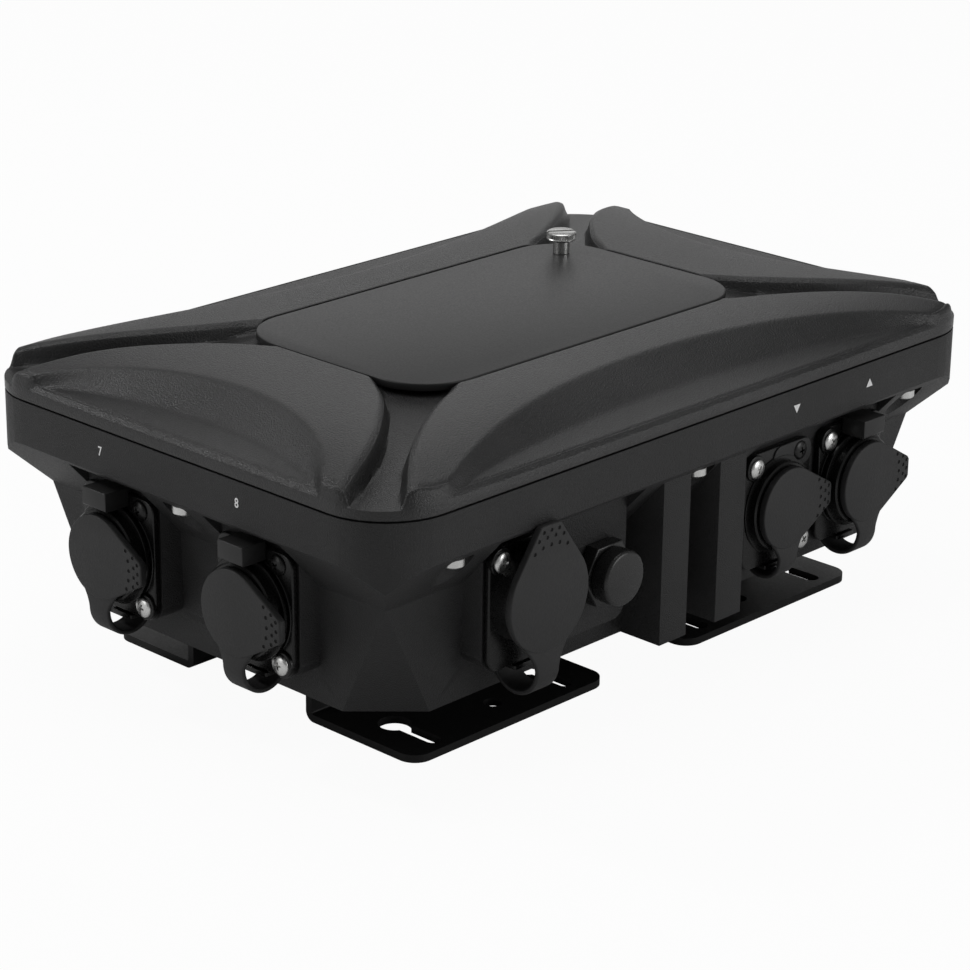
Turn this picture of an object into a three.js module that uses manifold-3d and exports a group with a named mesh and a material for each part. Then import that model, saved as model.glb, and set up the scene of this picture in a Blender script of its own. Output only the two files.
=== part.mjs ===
// DMX splitter in a cast housing, in millimetres, +Z up.
// The origin is at the centre of the footprint, on the surface that the two brackets stand on.
// The long front side faces -Y and the short left side faces -X.
// Wall pieces are built looking straight at their wall: X to the right, Y inward from the band
// face, so that a y value there is a depth behind the band face, and Z up.
import * as THREE from "three";
import { mergeVertices } from "three/addons/utils/BufferGeometryUtils.js";
import { ConvexGeometry } from "three/addons/geometries/ConvexGeometry.js";
import Module from "manifold-3d";

const wasm = await Module();
wasm.setup();

// Fits
const gap = 0.3;
const overrun = 1;

// Housing
const bodyLength = 222;
const bodyWidth = 145;
const bodyCorner = 18.6;
const wallHeight = 30;
const slopeHeight = 14.3;
const bandHeight = 11.15;
const footInset = 14.1;
const shoulderInset = 13.1;
const facetLeg = 14.3;
const wallThickness = 3.2;
const floorThickness = 3;
const bandWall = 11;
const bossInset = 7;
const bossDepth = 8.5;
const bossMargin = 0.3;
const bossCorner = 4;
const pocketHeight = 13.2;
const postWidth = 10;
const postGap = 11.1;
const postInset = 1.5;
const pillarRadius = 3;
const pillarHeight = 3.7;
const pillarInsetX = 6;
const pillarInsetY = 5;
const screwBossRadius = 4;

// Lid
const rimHeight = 4.2;
const padEdgeHeight = 2.3;
const padEdgeInset = 0.7;
const padRise = 4.9;
const lidSkin = 2.5;
const valleyRimRise = -1.1;
const valleyCoverRise = 3.6;
const scallopLong = 92;
const scallopLongDepth = 23.6;
const scallopShort = 52;
const scallopShortDepth = 24.3;
const accessLength = 72;
const accessWidth = 36;
const accessCorner = 3.2;

// Valley outline, as shares of half the lid's length and width, for the corner at +X +Y
const valleySideShares = [
  [1.02, 0.826],
  [0.92, 0.745],
  [0.835, 0.678],
  [0.736, 0.567],
  [0.623, 0.404],
  [0.555, 0.25],
];
const valleyEndShares = [
  [0.455, 0.507],
  [0.487, 0.502],
  [0.56, 0.555],
  [0.674, 0.658],
  [0.797, 0.797],
  [0.93, 0.99],
];
// Crown of the pads: share of the way in from their edge, then share of their rise
const crownShares = [[-0.05, -0.15], [0, 0], [0.1, 0.26], [0.25, 0.55], [0.45, 0.81], [0.7, 0.966], [1, 1]];
// Scallop rows: share of the way in from the rim, then share of the height there
const scallopShares = [[0, 0], [0.4, 0.05], [0.52, 0.14], [0.66, 0.37], [0.82, 0.67], [1.05, 1.09]];

// Cover plate, its seal and the thumb screw
const coverLength = 120.6;
const coverWidth = 68.3;
const coverCorner = 15.5;
const coverThickness = 2;
const coverGap = 1;
const sealWidth = 3;
const sealDepth = 1.2;
const sealMargin = 3.3;
const sealCorner = 5;
const thumbX = 49.7;
const thumbY = 23.1;
const thumbHeadRadius = 4;
const thumbHeadHeight = 2.4;
const thumbSlotWidth = 1.2;
const thumbSlotDepth = 1.1;
const thumbShankRadius = 1.8;
const thumbReach = 3.7;
const thumbBite = 0.6;
const lidSealInset = 8.5;
const lidSealWidth = 1.4;
const lidSealDepth = 1.1;

// Lid screws, heads down under the band
const lidScrewInset = 4.9;
const lidScrewSpread = 84.7;
const lidScrewHeadRadius = 2.75;
const lidScrewHeadHeight = 2.3;
const lidScrewShankRadius = 1.5;
const lidScrewBite = 2.5;
const lidScrewDriveDepth = 1.5;
const scoopRadius = 4.9;
const scoopRoof = 1.8;

// Connector flanges, the same pattern on every connector
const flangeWidth = 26;
const flangeHeight = 31;
const flangeCorner = 2.5;
const flangeInset = 5;
const barrelRadius = 11.8;
const barrelDepth = 19.3;
const connectorZ = 38.8;
const sideSpread = 24.25;
const nearSpread = 32.9;
const farSpread = 62.7;

// Sockets and the input plug
const collarRadius = 11.6;
const ridgeRadius = 12.9;
const ridgeWidth = 0.8;
const ridgePitch = 1.8;
const boreRadius = 9.65;
const boreDepth = 17;
const insertRadius = 7.7;
const insertInset = 9;
const inputInset = 2.4;
const inputBoreRadius = 8;
const pinRadius = 0.8;
const pinCircle = 4.6;
const pinInset = 10.6;
const pinCount = 5;

// Power inlet
const inletZ = 41.9;
const inletDrop = 2.1;
const inletCollarRadius = 12.6;
const inletBoreRadius = 10.6;
const inletInsertRadius = 8.2;

// Caps and their straps
const capThickness = 1.9;
const capRadius = 10.7;
const capTip = 16.4;
const capTipWidth = 6.4;
const capPlugDepth = 3;
const capPlugPlay = 0.7;
const strapWidth = 7;
const strapThickness = 1.2;
const strapBack = 13;
const strapDrop = 13.5;
const neckShare = 0.8;
const powerCapRadius = 13.3;
const powerCapTip = 18.4;
const powerCapTipWidth = 7.5;
const powerStrapWidth = 7.6;
const powerStrapDrop = 17.9;

// Latches
const latchWidth = 8.5;
const latchHeight = 4.8;
const latchFront = 2.4;
const latchLength = 7.3;
const latchTaper = 0.4;
const latchLift = -0.3;

// Fuse
const fuseX = -32.9;
const fuseZ = 39;
const fuseBezelRadius = 8.6;
const fuseBezelInset = 3;
const fuseHolderRadius = 6;
const fuseHolderLength = 27;
const fuseKnobRadius = 7;
const fuseKnobProud = 2;
const fuseStemRadius = 2.6;
const fuseStemLength = 3.3;
const fuseRadius = 2.5;
const fuseLength = 20;
const fuseBoreRadius = 3;
const fuseNutRadius = 9;
const fuseNutHeight = 3;

// Brackets
const bracketRise = 15.3;
const bracketSheet = 2;
const bracketInner = 15.2;
const bracketWidth = 68.2;
const bracketReach = 54.5;
const bracketFrontLeg = 19.1;
const bracketRearLeg = 26.1;
const bracketCorner = 5;
const keyholeSpread = 23.3;
const keyholeY = 36.8;
const keyholeRadius = 4.15;
const keyholeSlotWidth = 4;
const keyholeSlotLength = 14.9;
const roundHoleY = 45.1;
const roundHoleShift = 2.2;
const roundHoleRadius = 2.35;
const bracketScrewEdge = 10;
const bracketScrewHeadRadius = 3;
const bracketScrewHeadHeight = 2.2;
const bracketScrewShankRadius = 1.5;
const bracketScrewBite = 5;

// Boards
const boardEndMargin = 17.7;
const boardSideMargin = 12.2;
const boardThickness = 1.6;
const isolatorLength = 10;
const isolatorWidth = 7;
const isolatorHeight = 5;
const isolatorEndMargin = 23.5;
const isolatorCount = 8;
const isolatorY = 24;
const supplyLength = 48;
const supplyWidth = 34;
const supplyHeight = 20;
const supplyX = -38;
const supplyClearance = 6.5;
const supplyCorner = 2;
const switchBoardLength = 88;
const switchBoardWidth = 48;
const switchLength = 20;
const switchWidth = 8;
const switchHeight = 2.4;

// Facets on round pieces
const fineSteps = 18;
const roundSteps = 14;
const barrelSteps = 12;
const capSteps = 14;
const smallSteps = 8;
const hexSteps = 6;
const cornerSteps = 4;
const cornerCount = 4;

// Heights
const bottomZ = bracketRise;
const shoulderZ = bottomZ + wallHeight;
const bandZ = shoulderZ + slopeHeight;
const seamZ = bandZ + bandHeight;
const lidZ = seamZ + gap;
const rimZ = lidZ + rimHeight;
const padZ = rimZ + padEdgeHeight;
const plateauZ = padZ + padRise;
const coverTopZ = plateauZ;
const coverZ = coverTopZ - coverThickness;
const recessZ = coverZ - gap;
const lidRoofZ = recessZ - lidSkin - sealDepth;
const boardZ = bottomZ + floorThickness + pillarHeight + gap;
const halfLength = bodyLength / 2;
const halfWidth = bodyWidth / 2;
const recessHalfX = coverLength / 2 + coverGap;
const recessHalfY = coverWidth / 2 + coverGap;
const boardLength = bodyLength - (footInset + wallThickness + boardEndMargin) * 2;
const boardWidth = bodyWidth - (footInset + wallThickness + boardSideMargin) * 2;
const isolatorPitch = (boardLength - isolatorEndMargin * 2) / (isolatorCount - 1);
const supplyFront = -halfWidth + fuseBezelInset + fuseHolderLength + supplyClearance;
const supplyY = supplyFront + supplyWidth / 2;

// Solids

/** Turns a closed geometry into a solid for cutting and joining. */
function solid(geometry) {
  geometry.deleteAttribute("normal");
  geometry.deleteAttribute("uv");
  const merged = mergeVertices(geometry);
  const mesh = new wasm.Mesh({
    numProp: 3,
    vertProperties: new Float32Array(merged.attributes.position.array),
    triVerts: new Uint32Array(merged.index.array),
  });
  return new wasm.Manifold(mesh);
}

/** Turns a solid back into a geometry. */
function geometryOf(body) {
  const mesh = body.getMesh();
  const geometry = new THREE.BufferGeometry();
  geometry.setAttribute("position", new THREE.BufferAttribute(mesh.vertProperties, 3));
  geometry.setIndex(new THREE.BufferAttribute(mesh.triVerts, 1));
  geometry.computeVertexNormals();
  return geometry;
}

function block(x0, x1, y0, y1, z0, z1) {
  const geometry = new THREE.BoxGeometry(x1 - x0, y1 - y0, z1 - z0);
  geometry.translate((x0 + x1) / 2, (y0 + y1) / 2, (z0 + z1) / 2);
  return solid(geometry);
}

/** An upright round bar. */
function post(radius, x, y, z0, z1, steps = smallSteps) {
  const geometry = new THREE.CylinderGeometry(radius, radius, z1 - z0, steps);
  geometry.rotateX(Math.PI / 2);
  geometry.translate(x, y, (z0 + z1) / 2);
  return solid(geometry);
}

/** A round bar that runs inward, along Y. */
function bar(radius, x, z, y0, y1, steps = roundSteps) {
  const geometry = new THREE.CylinderGeometry(radius, radius, y1 - y0, steps);
  geometry.translate(x, (y0 + y1) / 2, z);
  return solid(geometry);
}

function extruded(shape, depth, curveSegments) {
  return new THREE.ExtrudeGeometry(shape, { depth, curveSegments, bevelEnabled: false });
}

/** A plan outline raised from z0 to z1. */
function slab(shape, z0, z1) {
  const geometry = extruded(shape, z1 - z0, cornerSteps);
  geometry.translate(0, 0, z0);
  return solid(geometry);
}

/** An outline in X and Z, from depth y0 to depth y1. */
function plate(shape, y0, y1, steps = cornerSteps) {
  const geometry = extruded(shape, y1 - y0, steps);
  geometry.rotateX(Math.PI / 2);
  geometry.translate(0, y1, 0);
  return solid(geometry);
}

/** An outline in Y and Z, from x0 to x1. */
function strip(shape, x0, x1) {
  const geometry = extruded(shape, x1 - x0, cornerSteps);
  const toY = new THREE.Vector3(0, 1, 0);
  const toZ = new THREE.Vector3(0, 0, 1);
  const toX = new THREE.Vector3(1, 0, 0);
  geometry.applyMatrix4(new THREE.Matrix4().makeBasis(toY, toZ, toX));
  geometry.translate(x0, 0, 0);
  return solid(geometry);
}

function hull(points) {
  return solid(new ConvexGeometry(points));
}

function polygon(points) {
  return new THREE.Shape(points.map(([x, y]) => new THREE.Vector2(x, y)));
}

/** A rectangle with round corners about (x, y). */
function roundRect(length, width, radius, x = 0, y = 0) {
  const shape = new THREE.Shape();
  const reachX = length / 2 - radius;
  const reachY = width / 2 - radius;
  shape.absarc(x + reachX, y + reachY, radius, 0, Math.PI / 2);
  shape.absarc(x - reachX, y + reachY, radius, Math.PI / 2, Math.PI);
  shape.absarc(x - reachX, y - reachY, radius, Math.PI, Math.PI * 1.5);
  shape.absarc(x + reachX, y - reachY, radius, Math.PI * 1.5, Math.PI * 2);
  shape.closePath();
  return shape;
}

/** A quarter ring or any other stretch of one, about (y, z). */
function ringPart(y, z, outer, inner, from, to) {
  const shape = new THREE.Shape();
  shape.absarc(y, z, outer, from, to, false);
  shape.absarc(y, z, inner, to, from, true);
  shape.closePath();
  return shape;
}

function rectangle(halfX, halfY, z) {
  const corners = [[-1, -1], [1, -1], [1, 1], [-1, 1]];
  return corners.map(([x, y]) => new THREE.Vector3(x * halfX, y * halfY, z));
}

/** A rectangle whose corners are cut off by a leg along each side. */
function facetedRectangle(halfX, halfY, leg, z) {
  const points = [];
  for (const [x, y] of [[-1, -1], [1, -1], [1, 1], [-1, 1]]) {
    points.push(new THREE.Vector3(x * (halfX - leg), y * halfY, z));
    points.push(new THREE.Vector3(x * halfX, y * (halfY - leg), z));
  }
  return points;
}

function joined(solids) {
  return solids.reduce((whole, next) => whole.add(next));
}

// The four walls, and what stands on each

const walls = {
  front: { angle: 0, x: 0, y: -halfWidth },
  right: { angle: Math.PI / 2, x: halfLength, y: 0 },
  rear: { angle: Math.PI, x: 0, y: halfWidth },
  left: { angle: -Math.PI / 2, x: -halfLength, y: 0 },
};

const outputs = [
  { number: 1, wall: "right", x: -sideSpread },
  { number: 2, wall: "right", x: sideSpread },
  { number: 3, wall: "rear", x: -farSpread },
  { number: 4, wall: "rear", x: -nearSpread },
  { number: 5, wall: "rear", x: nearSpread },
  { number: 6, wall: "rear", x: farSpread },
  { number: 7, wall: "left", x: -sideSpread },
  { number: 8, wall: "left", x: sideSpread },
];

const input = { wall: "front", x: nearSpread };
const through = { wall: "front", x: farSpread };
const inlet = { wall: "front", x: -nearSpread - flangeWidth - gap * 2 };
const longWallScrews = [-lidScrewSpread, 0, lidScrewSpread];

const lidScrews = [
  ...longWallScrews.map((x) => ({ wall: "front", x })),
  { wall: "right", x: 0 },
  ...longWallScrews.map((x) => ({ wall: "rear", x })),
  { wall: "left", x: 0 },
];

const bossHalf = flangeWidth / 2 + bossMargin;
const bossZ = connectorZ - flangeHeight / 2 - bossMargin;
const inletBossZ = inletZ - inletDrop - flangeHeight / 2 - bossMargin;
const fuseMargin = fuseBezelRadius + (bossHalf - barrelRadius);
const bosses = [
  ...outputs
    .filter((output) => output.wall !== "rear")
    .map(({ wall, x }) => ({ wall, from: x - bossHalf, to: x + bossHalf, z: bossZ })),
  { wall: "rear", from: -farSpread - bossHalf, to: -nearSpread + bossHalf, z: bossZ },
  { wall: "rear", from: nearSpread - bossHalf, to: farSpread + bossHalf, z: bossZ },
  { wall: "front", from: nearSpread - bossHalf, to: farSpread + bossHalf, z: bossZ },
  { wall: "front", from: inlet.x - bossHalf, to: fuseX + fuseMargin, z: inletBossZ },
];

/** Places a solid that was built facing its wall. */
function onWall(wallName, body) {
  const { angle, x, y } = walls[wallName];
  const geometry = geometryOf(body);
  geometry.rotateZ(angle);
  geometry.translate(x, y, 0);
  return solid(geometry);
}

// Housing

const pocketTopZ = shoulderZ + pocketHeight;

function bossShape(boss) {
  const shape = new THREE.Shape();
  shape.moveTo(boss.from, pocketTopZ);
  shape.lineTo(boss.from, boss.z + bossCorner);
  shape.absarc(boss.from + bossCorner, boss.z + bossCorner, bossCorner, Math.PI, Math.PI * 1.5);
  shape.lineTo(boss.to - bossCorner, boss.z);
  shape.absarc(boss.to - bossCorner, boss.z + bossCorner, bossCorner, Math.PI * 1.5, Math.PI * 2);
  shape.lineTo(boss.to, pocketTopZ);
  return shape;
}

function housingOuter() {
  const foot = facetedRectangle(halfLength - footInset, halfWidth - footInset, facetLeg, bottomZ);
  const shoulder = rectangle(halfLength - shoulderInset, halfWidth - shoulderInset, shoulderZ);
  const neck = rectangle(halfLength - shoulderInset, halfWidth - shoulderInset, shoulderZ + overrun);
  const lower = hull([...foot, ...shoulder, ...neck]);
  const bandLow = rectangle(halfLength, halfWidth, bandZ);
  const bandHigh = rectangle(halfLength, halfWidth, seamZ);
  const flare = hull([...shoulder, ...bandLow, ...bandHigh]);
  const bandPlan = slab(roundRect(bodyLength, bodyWidth, bodyCorner), shoulderZ - overrun, seamZ + overrun);
  return lower.add(flare.intersect(bandPlan));
}

function housingCavity() {
  const floorZ = bottomZ + floorThickness;
  const low = footInset + wallThickness;
  const high = shoulderInset + wallThickness;
  const foot = facetedRectangle(halfLength - low, halfWidth - low, facetLeg, floorZ);
  const shoulder = rectangle(halfLength - high, halfWidth - high, shoulderZ);
  const neck = rectangle(halfLength - high, halfWidth - high, shoulderZ + overrun);
  const lower = hull([...foot, ...shoulder, ...neck]);
  const band = rectangle(halfLength - bandWall, halfWidth - bandWall, bandZ);
  const mouth = rectangle(halfLength - bandWall, halfWidth - bandWall, seamZ + overrun);
  const flare = hull([...shoulder, ...band, ...mouth]);
  const plan = roundRect(bodyLength - bandWall * 2, bodyWidth - bandWall * 2, bodyCorner - bandWall);
  return lower.add(flare.intersect(slab(plan, shoulderZ, seamZ + overrun)));
}

const bracketScrewPlaces = [-bracketFrontLeg + bracketScrewEdge, bracketRearLeg - bracketScrewEdge];
const bracketCentre = bracketInner + bracketWidth / 2;

function housingInnerPosts() {
  const floorZ = bottomZ + floorThickness - overrun;
  const solids = [];
  const pillarX = boardLength / 2 - pillarInsetX;
  const pillarY = boardWidth / 2 - pillarInsetY;
  for (const x of [-pillarX, pillarX]) {
    for (const y of [-pillarY, pillarY]) {
      solids.push(post(pillarRadius, x, y, floorZ, boardZ - gap));
    }
  }
  for (const x of [-bracketCentre, bracketCentre]) {
    for (const y of bracketScrewPlaces) {
      solids.push(post(screwBossRadius, x, y, floorZ, boardZ - gap));
    }
  }
  return solids;
}

function bracketScrewHoles() {
  const holes = [];
  for (const x of [-bracketCentre, bracketCentre]) {
    for (const y of bracketScrewPlaces) {
      const holeRadius = bracketScrewShankRadius + gap;
      holes.push(post(holeRadius, x, y, bottomZ - overrun, bottomZ + bracketScrewBite + gap));
    }
  }
  return holes;
}

const scoopTopZ = bandZ - scoopRoof;

function lidScrewCuts() {
  return lidScrews.flatMap(({ wall, x }) => [
    onWall(wall, post(scoopRadius, x, lidScrewInset, shoulderZ - overrun, scoopTopZ, roundSteps)),
    onWall(wall, post(lidScrewShankRadius + gap, x, lidScrewInset, scoopTopZ - overrun, seamZ + overrun)),
  ]);
}

function connectorCuts() {
  const back = shoulderInset + wallThickness + bossDepth;
  const cuts = [];
  for (const { wall, x } of [...outputs, input, through]) {
    cuts.push(onWall(wall, bar(barrelRadius + gap, x, connectorZ, bossInset - overrun, back, barrelSteps)));
  }
  const inletBar = bar(barrelRadius + gap, inlet.x, inletZ, bossInset - overrun, back, barrelSteps);
  cuts.push(onWall(inlet.wall, inletBar));
  cuts.push(onWall("front", bar(fuseHolderRadius + gap, fuseX, fuseZ, bossInset - overrun, back)));
  return cuts;
}

function lidSealGroove() {
  const outer = lidSealInset - gap;
  const inner = lidSealInset + lidSealWidth + gap;
  const outerPlan = roundRect(bodyLength - outer * 2, bodyWidth - outer * 2, bodyCorner - outer);
  const innerPlan = roundRect(bodyLength - inner * 2, bodyWidth - inner * 2, bodyCorner - inner);
  const grooveZ = seamZ - lidSealDepth - gap;
  const ring = slab(outerPlan, grooveZ, seamZ + overrun);
  return ring.subtract(slab(innerPlan, grooveZ - overrun, seamZ + overrun * 2));
}

function housing() {
  const postReach = postGap / 2 + postWidth;
  const wallPosts = ["front", "rear"].flatMap((wall) => [
    onWall(wall, block(-postReach, -postGap / 2, postInset, footInset + overrun, bottomZ, bandZ + gap)),
    onWall(wall, block(postGap / 2, postReach, postInset, footInset + overrun, bottomZ, bandZ + gap)),
  ]);
  const bossBack = bossInset + bossDepth;
  const bossSolids = bosses.map((boss) => onWall(boss.wall, plate(bossShape(boss), bossInset, bossBack)));
  const pockets = bosses.map((boss) => onWall(boss.wall, plate(bossShape(boss), -overrun, bossInset)));
  let body = housingOuter();
  body = pockets.reduce((rest, pocket) => rest.subtract(pocket), body);
  body = body.subtract(housingCavity());
  body = joined([body, ...bossSolids, ...wallPosts, ...housingInnerPosts()]);
  const cuts = [...lidScrewCuts(), ...connectorCuts(), ...bracketScrewHoles(), lidSealGroove()];
  return cuts.reduce((rest, cut) => rest.subtract(cut), body);
}

// Lid

/** Share of the pads' rise at a share of the way in from their edge. */
function crown(share) {
  const last = crownShares.length - 1;
  const next = crownShares.findIndex(([along]) => along > share);
  const index = next < 0 ? last : Math.max(next, 1);
  const [fromShare, fromRise] = crownShares[index - 1];
  const [toShare, toRise] = crownShares[index];
  return fromRise + (toRise - fromRise) * (share - fromShare) / (toShare - fromShare);
}

/** Height of the lid's raised surface above a point of the plan. */
function roofHeight(x, y) {
  const shareX = (halfLength - padEdgeInset - Math.abs(x)) / (halfLength - padEdgeInset - recessHalfX);
  const shareY = (halfWidth - padEdgeInset - Math.abs(y)) / (halfWidth - padEdgeInset - recessHalfY);
  return padZ + padRise * crown(Math.min(shareX, shareY, 1));
}

/** The crowned roof, as two crossing prisms, each the hull of its own ridge. */
function roof() {
  const [outX, outY] = [halfLength + overrun, halfWidth + overrun];
  const base = rectangle(outX, outY, lidZ - overrun);
  const alongX = [...base, ...rectangle(outX, outY, padZ - overrun)];
  const alongY = [...base, ...rectangle(outX, outY, padZ - overrun)];
  for (const [share, rise] of crownShares) {
    const z = padZ + padRise * rise;
    const x = halfLength - padEdgeInset - (halfLength - padEdgeInset - recessHalfX) * share;
    const y = halfWidth - padEdgeInset - (halfWidth - padEdgeInset - recessHalfY) * share;
    alongX.push(...rectangle(x, outY, z));
    alongY.push(...rectangle(outX, y, z));
  }
  return hull(alongX).intersect(hull(alongY));
}

/** The rim's plan, then a sloped edge up to the pads. */
function lidPlan() {
  const rim = slab(roundRect(bodyLength, bodyWidth, bodyCorner), lidZ, rimZ);
  const steps = cornerSteps * cornerCount;
  const points = [];
  for (const [inset, z] of [[0, rimZ], [padEdgeInset, padZ]]) {
    const radius = bodyCorner - inset;
    for (let step = 0; step < steps; step += 1) {
      const quarter = Math.floor(step / cornerSteps);
      const angle = (quarter + (step % cornerSteps) / (cornerSteps - 1)) * Math.PI / 2;
      const signX = quarter === 0 || quarter === 3 ? 1 : -1;
      const signY = quarter < 2 ? 1 : -1;
      const x = signX * (halfLength - bodyCorner) + radius * Math.cos(angle);
      const y = signY * (halfWidth - bodyCorner) + radius * Math.sin(angle);
      points.push(new THREE.Vector3(x, y, z));
    }
  }
  const edge = hull(points);
  const [length, width] = [bodyLength - padEdgeInset * 2, bodyWidth - padEdgeInset * 2];
  const plan = roundRect(length, width, bodyCorner - padEdgeInset);
  return joined([rim, edge, slab(plan, padZ - gap, plateauZ + overrun)]);
}

/** A channel from a lid corner to the cover plate's corner, with a sloping floor. */
function valley(signX, signY) {
  const shares = [...valleySideShares, ...valleyEndShares];
  const points = shares.map(([x, y]) => [x * halfLength * signX, y * halfWidth * signY]);
  const outline = signX * signY > 0 ? points : points.reverse();
  const geometry = extruded(polygon(outline), overrun, cornerSteps);
  const place = geometry.attributes.position;
  const [startX, startY] = [halfLength - bodyCorner / 2, halfWidth - bodyCorner / 2];
  const [endX, endY] = [coverLength / 2, coverWidth / 2];
  const run = Math.hypot(startX - endX, startY - endY);
  for (let index = 0; index < place.count; index += 1) {
    const x = Math.abs(place.getX(index));
    const y = Math.abs(place.getY(index));
    const along = ((startX - x) * (startX - endX) + (startY - y) * (startY - endY)) / (run * run);
    const floorZ = rimZ + valleyRimRise + (valleyCoverRise - valleyRimRise) * along;
    place.setZ(index, place.getZ(index) > 0 ? coverTopZ + overrun : floorZ);
  }
  return solid(geometry);
}

/** What a scallop takes from one wall's edge of the lid: half its chord, and its depth. */
function scallop(half, depth, columns, heightAt) {
  const radius = (half * half + depth * depth) / (2 * depth);
  const points = [];
  for (let column = 0; column <= columns; column += 1) {
    const x = half * Math.sin((column / columns - 0.5) * Math.PI);
    const reach = Math.max(Math.sqrt(radius * radius - x * x) - (radius - depth), gap);
    const row = [[x, -overrun, rimZ]];
    for (const [share, rise] of scallopShares) {
      row.push([x, reach * share, rimZ + (heightAt(x, reach) - rimZ) * rise]);
    }
    points.push(row);
  }
  return heightField(points, plateauZ + overrun * 2);
}

/** A solid between a grid of points and a flat top. */
function heightField(grid, topZ) {
  const rows = grid.length;
  const columns = grid[0].length;
  const places = [];
  const faces = [];
  const at = (row, column, layer) => (row * columns + column) * 2 + layer;
  for (const row of grid) {
    for (const [x, y, z] of row) {
      places.push(x, y, z, x, y, topZ);
    }
  }
  const quad = (a, b, c, d) => faces.push(a, b, c, a, c, d);
  for (let row = 0; row < rows - 1; row += 1) {
    for (let column = 0; column < columns - 1; column += 1) {
      quad(at(row, column, 0), at(row, column + 1, 0), at(row + 1, column + 1, 0), at(row + 1, column, 0));
      quad(at(row, column, 1), at(row + 1, column, 1), at(row + 1, column + 1, 1), at(row, column + 1, 1));
    }
  }
  for (let row = 0; row < rows - 1; row += 1) {
    quad(at(row, 0, 0), at(row + 1, 0, 0), at(row + 1, 0, 1), at(row, 0, 1));
    const last = columns - 1;
    quad(at(row, last, 0), at(row, last, 1), at(row + 1, last, 1), at(row + 1, last, 0));
  }
  for (let column = 0; column < columns - 1; column += 1) {
    quad(at(0, column, 0), at(0, column, 1), at(0, column + 1, 1), at(0, column + 1, 0));
    const last = rows - 1;
    quad(at(last, column, 0), at(last, column + 1, 0), at(last, column + 1, 1), at(last, column, 1));
  }
  const geometry = new THREE.BufferGeometry();
  geometry.setAttribute("position", new THREE.Float32BufferAttribute(places, 3));
  geometry.setIndex(faces);
  return solid(geometry);
}

function lidUnderside() {
  const inset = bandWall * 2;
  const plan = roundRect(bodyLength - inset, bodyWidth - inset, bodyCorner - bandWall);
  const low = slab(plan, lidZ - overrun, rimZ + valleyRimRise - lidSkin + gap);
  const high = slab(roundRect(coverLength, coverWidth, coverCorner), lidZ - overrun, lidRoofZ);
  return low.add(high);
}

function sealRing(grow, z0, z1) {
  const length = accessLength + (sealMargin + sealWidth) * 2;
  const width = accessWidth + (sealMargin + sealWidth) * 2;
  const holeLength = length - sealWidth * 2;
  const holeWidth = width - sealWidth * 2;
  const outer = roundRect(length + grow * 2, width + grow * 2, sealCorner + grow);
  const inner = roundRect(holeLength - grow * 2, holeWidth - grow * 2, accessCorner);
  return slab(outer, z0, z1).subtract(slab(inner, z0 - overrun, z1 + overrun));
}

function lid() {
  const longHeight = (x, y) => roofHeight(x, halfWidth - y);
  const shortHeight = (x, y) => roofHeight(halfLength - y, x);
  const long = scallop(scallopLong, scallopLongDepth, barrelSteps, longHeight);
  const short = scallop(scallopShort, scallopShortDepth, smallSteps, shortHeight);
  const recessPlan = roundRect(recessHalfX * 2, recessHalfY * 2, coverCorner + coverGap);
  const cuts = [
    onWall("front", long),
    onWall("rear", long),
    onWall("left", short),
    onWall("right", short),
    valley(1, 1),
    valley(-1, 1),
    valley(-1, -1),
    valley(1, -1),
    slab(recessPlan, recessZ, plateauZ + overrun),
    lidUnderside(),
    slab(roundRect(accessLength, accessWidth, accessCorner), lidZ, plateauZ + overrun),
    sealRing(gap, recessZ - sealDepth - gap, recessZ + overrun),
    post(thumbShankRadius + gap, thumbX, thumbY, recessZ - thumbBite - gap, plateauZ, smallSteps),
    ...lidScrews.map(({ wall, x }) => onWall(
      wall,
      post(lidScrewShankRadius + gap, x, lidScrewInset, lidZ - overrun, lidZ + lidScrewBite + gap),
    )),
  ];
  const body = lidPlan().intersect(roof());
  return cuts.reduce((rest, cut) => rest.subtract(cut), body);
}

function lidSeal() {
  const outer = lidSealInset;
  const inner = lidSealInset + lidSealWidth;
  const outerPlan = roundRect(bodyLength - outer * 2, bodyWidth - outer * 2, bodyCorner - outer);
  const innerPlan = roundRect(bodyLength - inner * 2, bodyWidth - inner * 2, bodyCorner - inner);
  const bottom = seamZ - lidSealDepth;
  return slab(outerPlan, bottom, seamZ).subtract(slab(innerPlan, bottom - overrun, seamZ + overrun));
}

function coverPlate() {
  const sheet = slab(roundRect(coverLength, coverWidth, coverCorner), coverZ, coverTopZ);
  const holeRadius = thumbShankRadius + gap;
  return sheet.subtract(post(holeRadius, thumbX, thumbY, coverZ - overrun, coverTopZ + overrun));
}

function thumbScrew() {
  const headZ = coverTopZ + thumbReach;
  const topZ = headZ + thumbHeadHeight;
  const head = post(thumbHeadRadius, thumbX, thumbY, headZ, topZ, roundSteps);
  const shank = post(thumbShankRadius, thumbX, thumbY, recessZ - thumbBite, headZ + gap);
  const slotHalf = thumbSlotWidth / 2;
  const slotZ = topZ - thumbSlotDepth;
  const [left, right] = [thumbX - thumbHeadRadius - overrun, thumbX + thumbHeadRadius + overrun];
  const slot = block(left, right, thumbY - slotHalf, thumbY + slotHalf, slotZ, topZ + overrun);
  return head.add(shank).subtract(slot);
}

function lidScrew(x) {
  const headTop = scoopTopZ - gap;
  const head = post(lidScrewHeadRadius, x, lidScrewInset, headTop - lidScrewHeadHeight, headTop);
  const shank = post(lidScrewShankRadius, x, lidScrewInset, headTop - gap, lidZ + lidScrewBite);
  const driveZ = headTop - lidScrewHeadHeight;
  const driveTop = driveZ + lidScrewDriveDepth;
  const drive = post(lidScrewShankRadius, x, lidScrewInset, driveZ - overrun, driveTop, hexSteps);
  return head.add(shank).subtract(drive);
}

// Connectors, built facing their wall about x = 0

const flangeBack = bossInset - gap;

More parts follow.
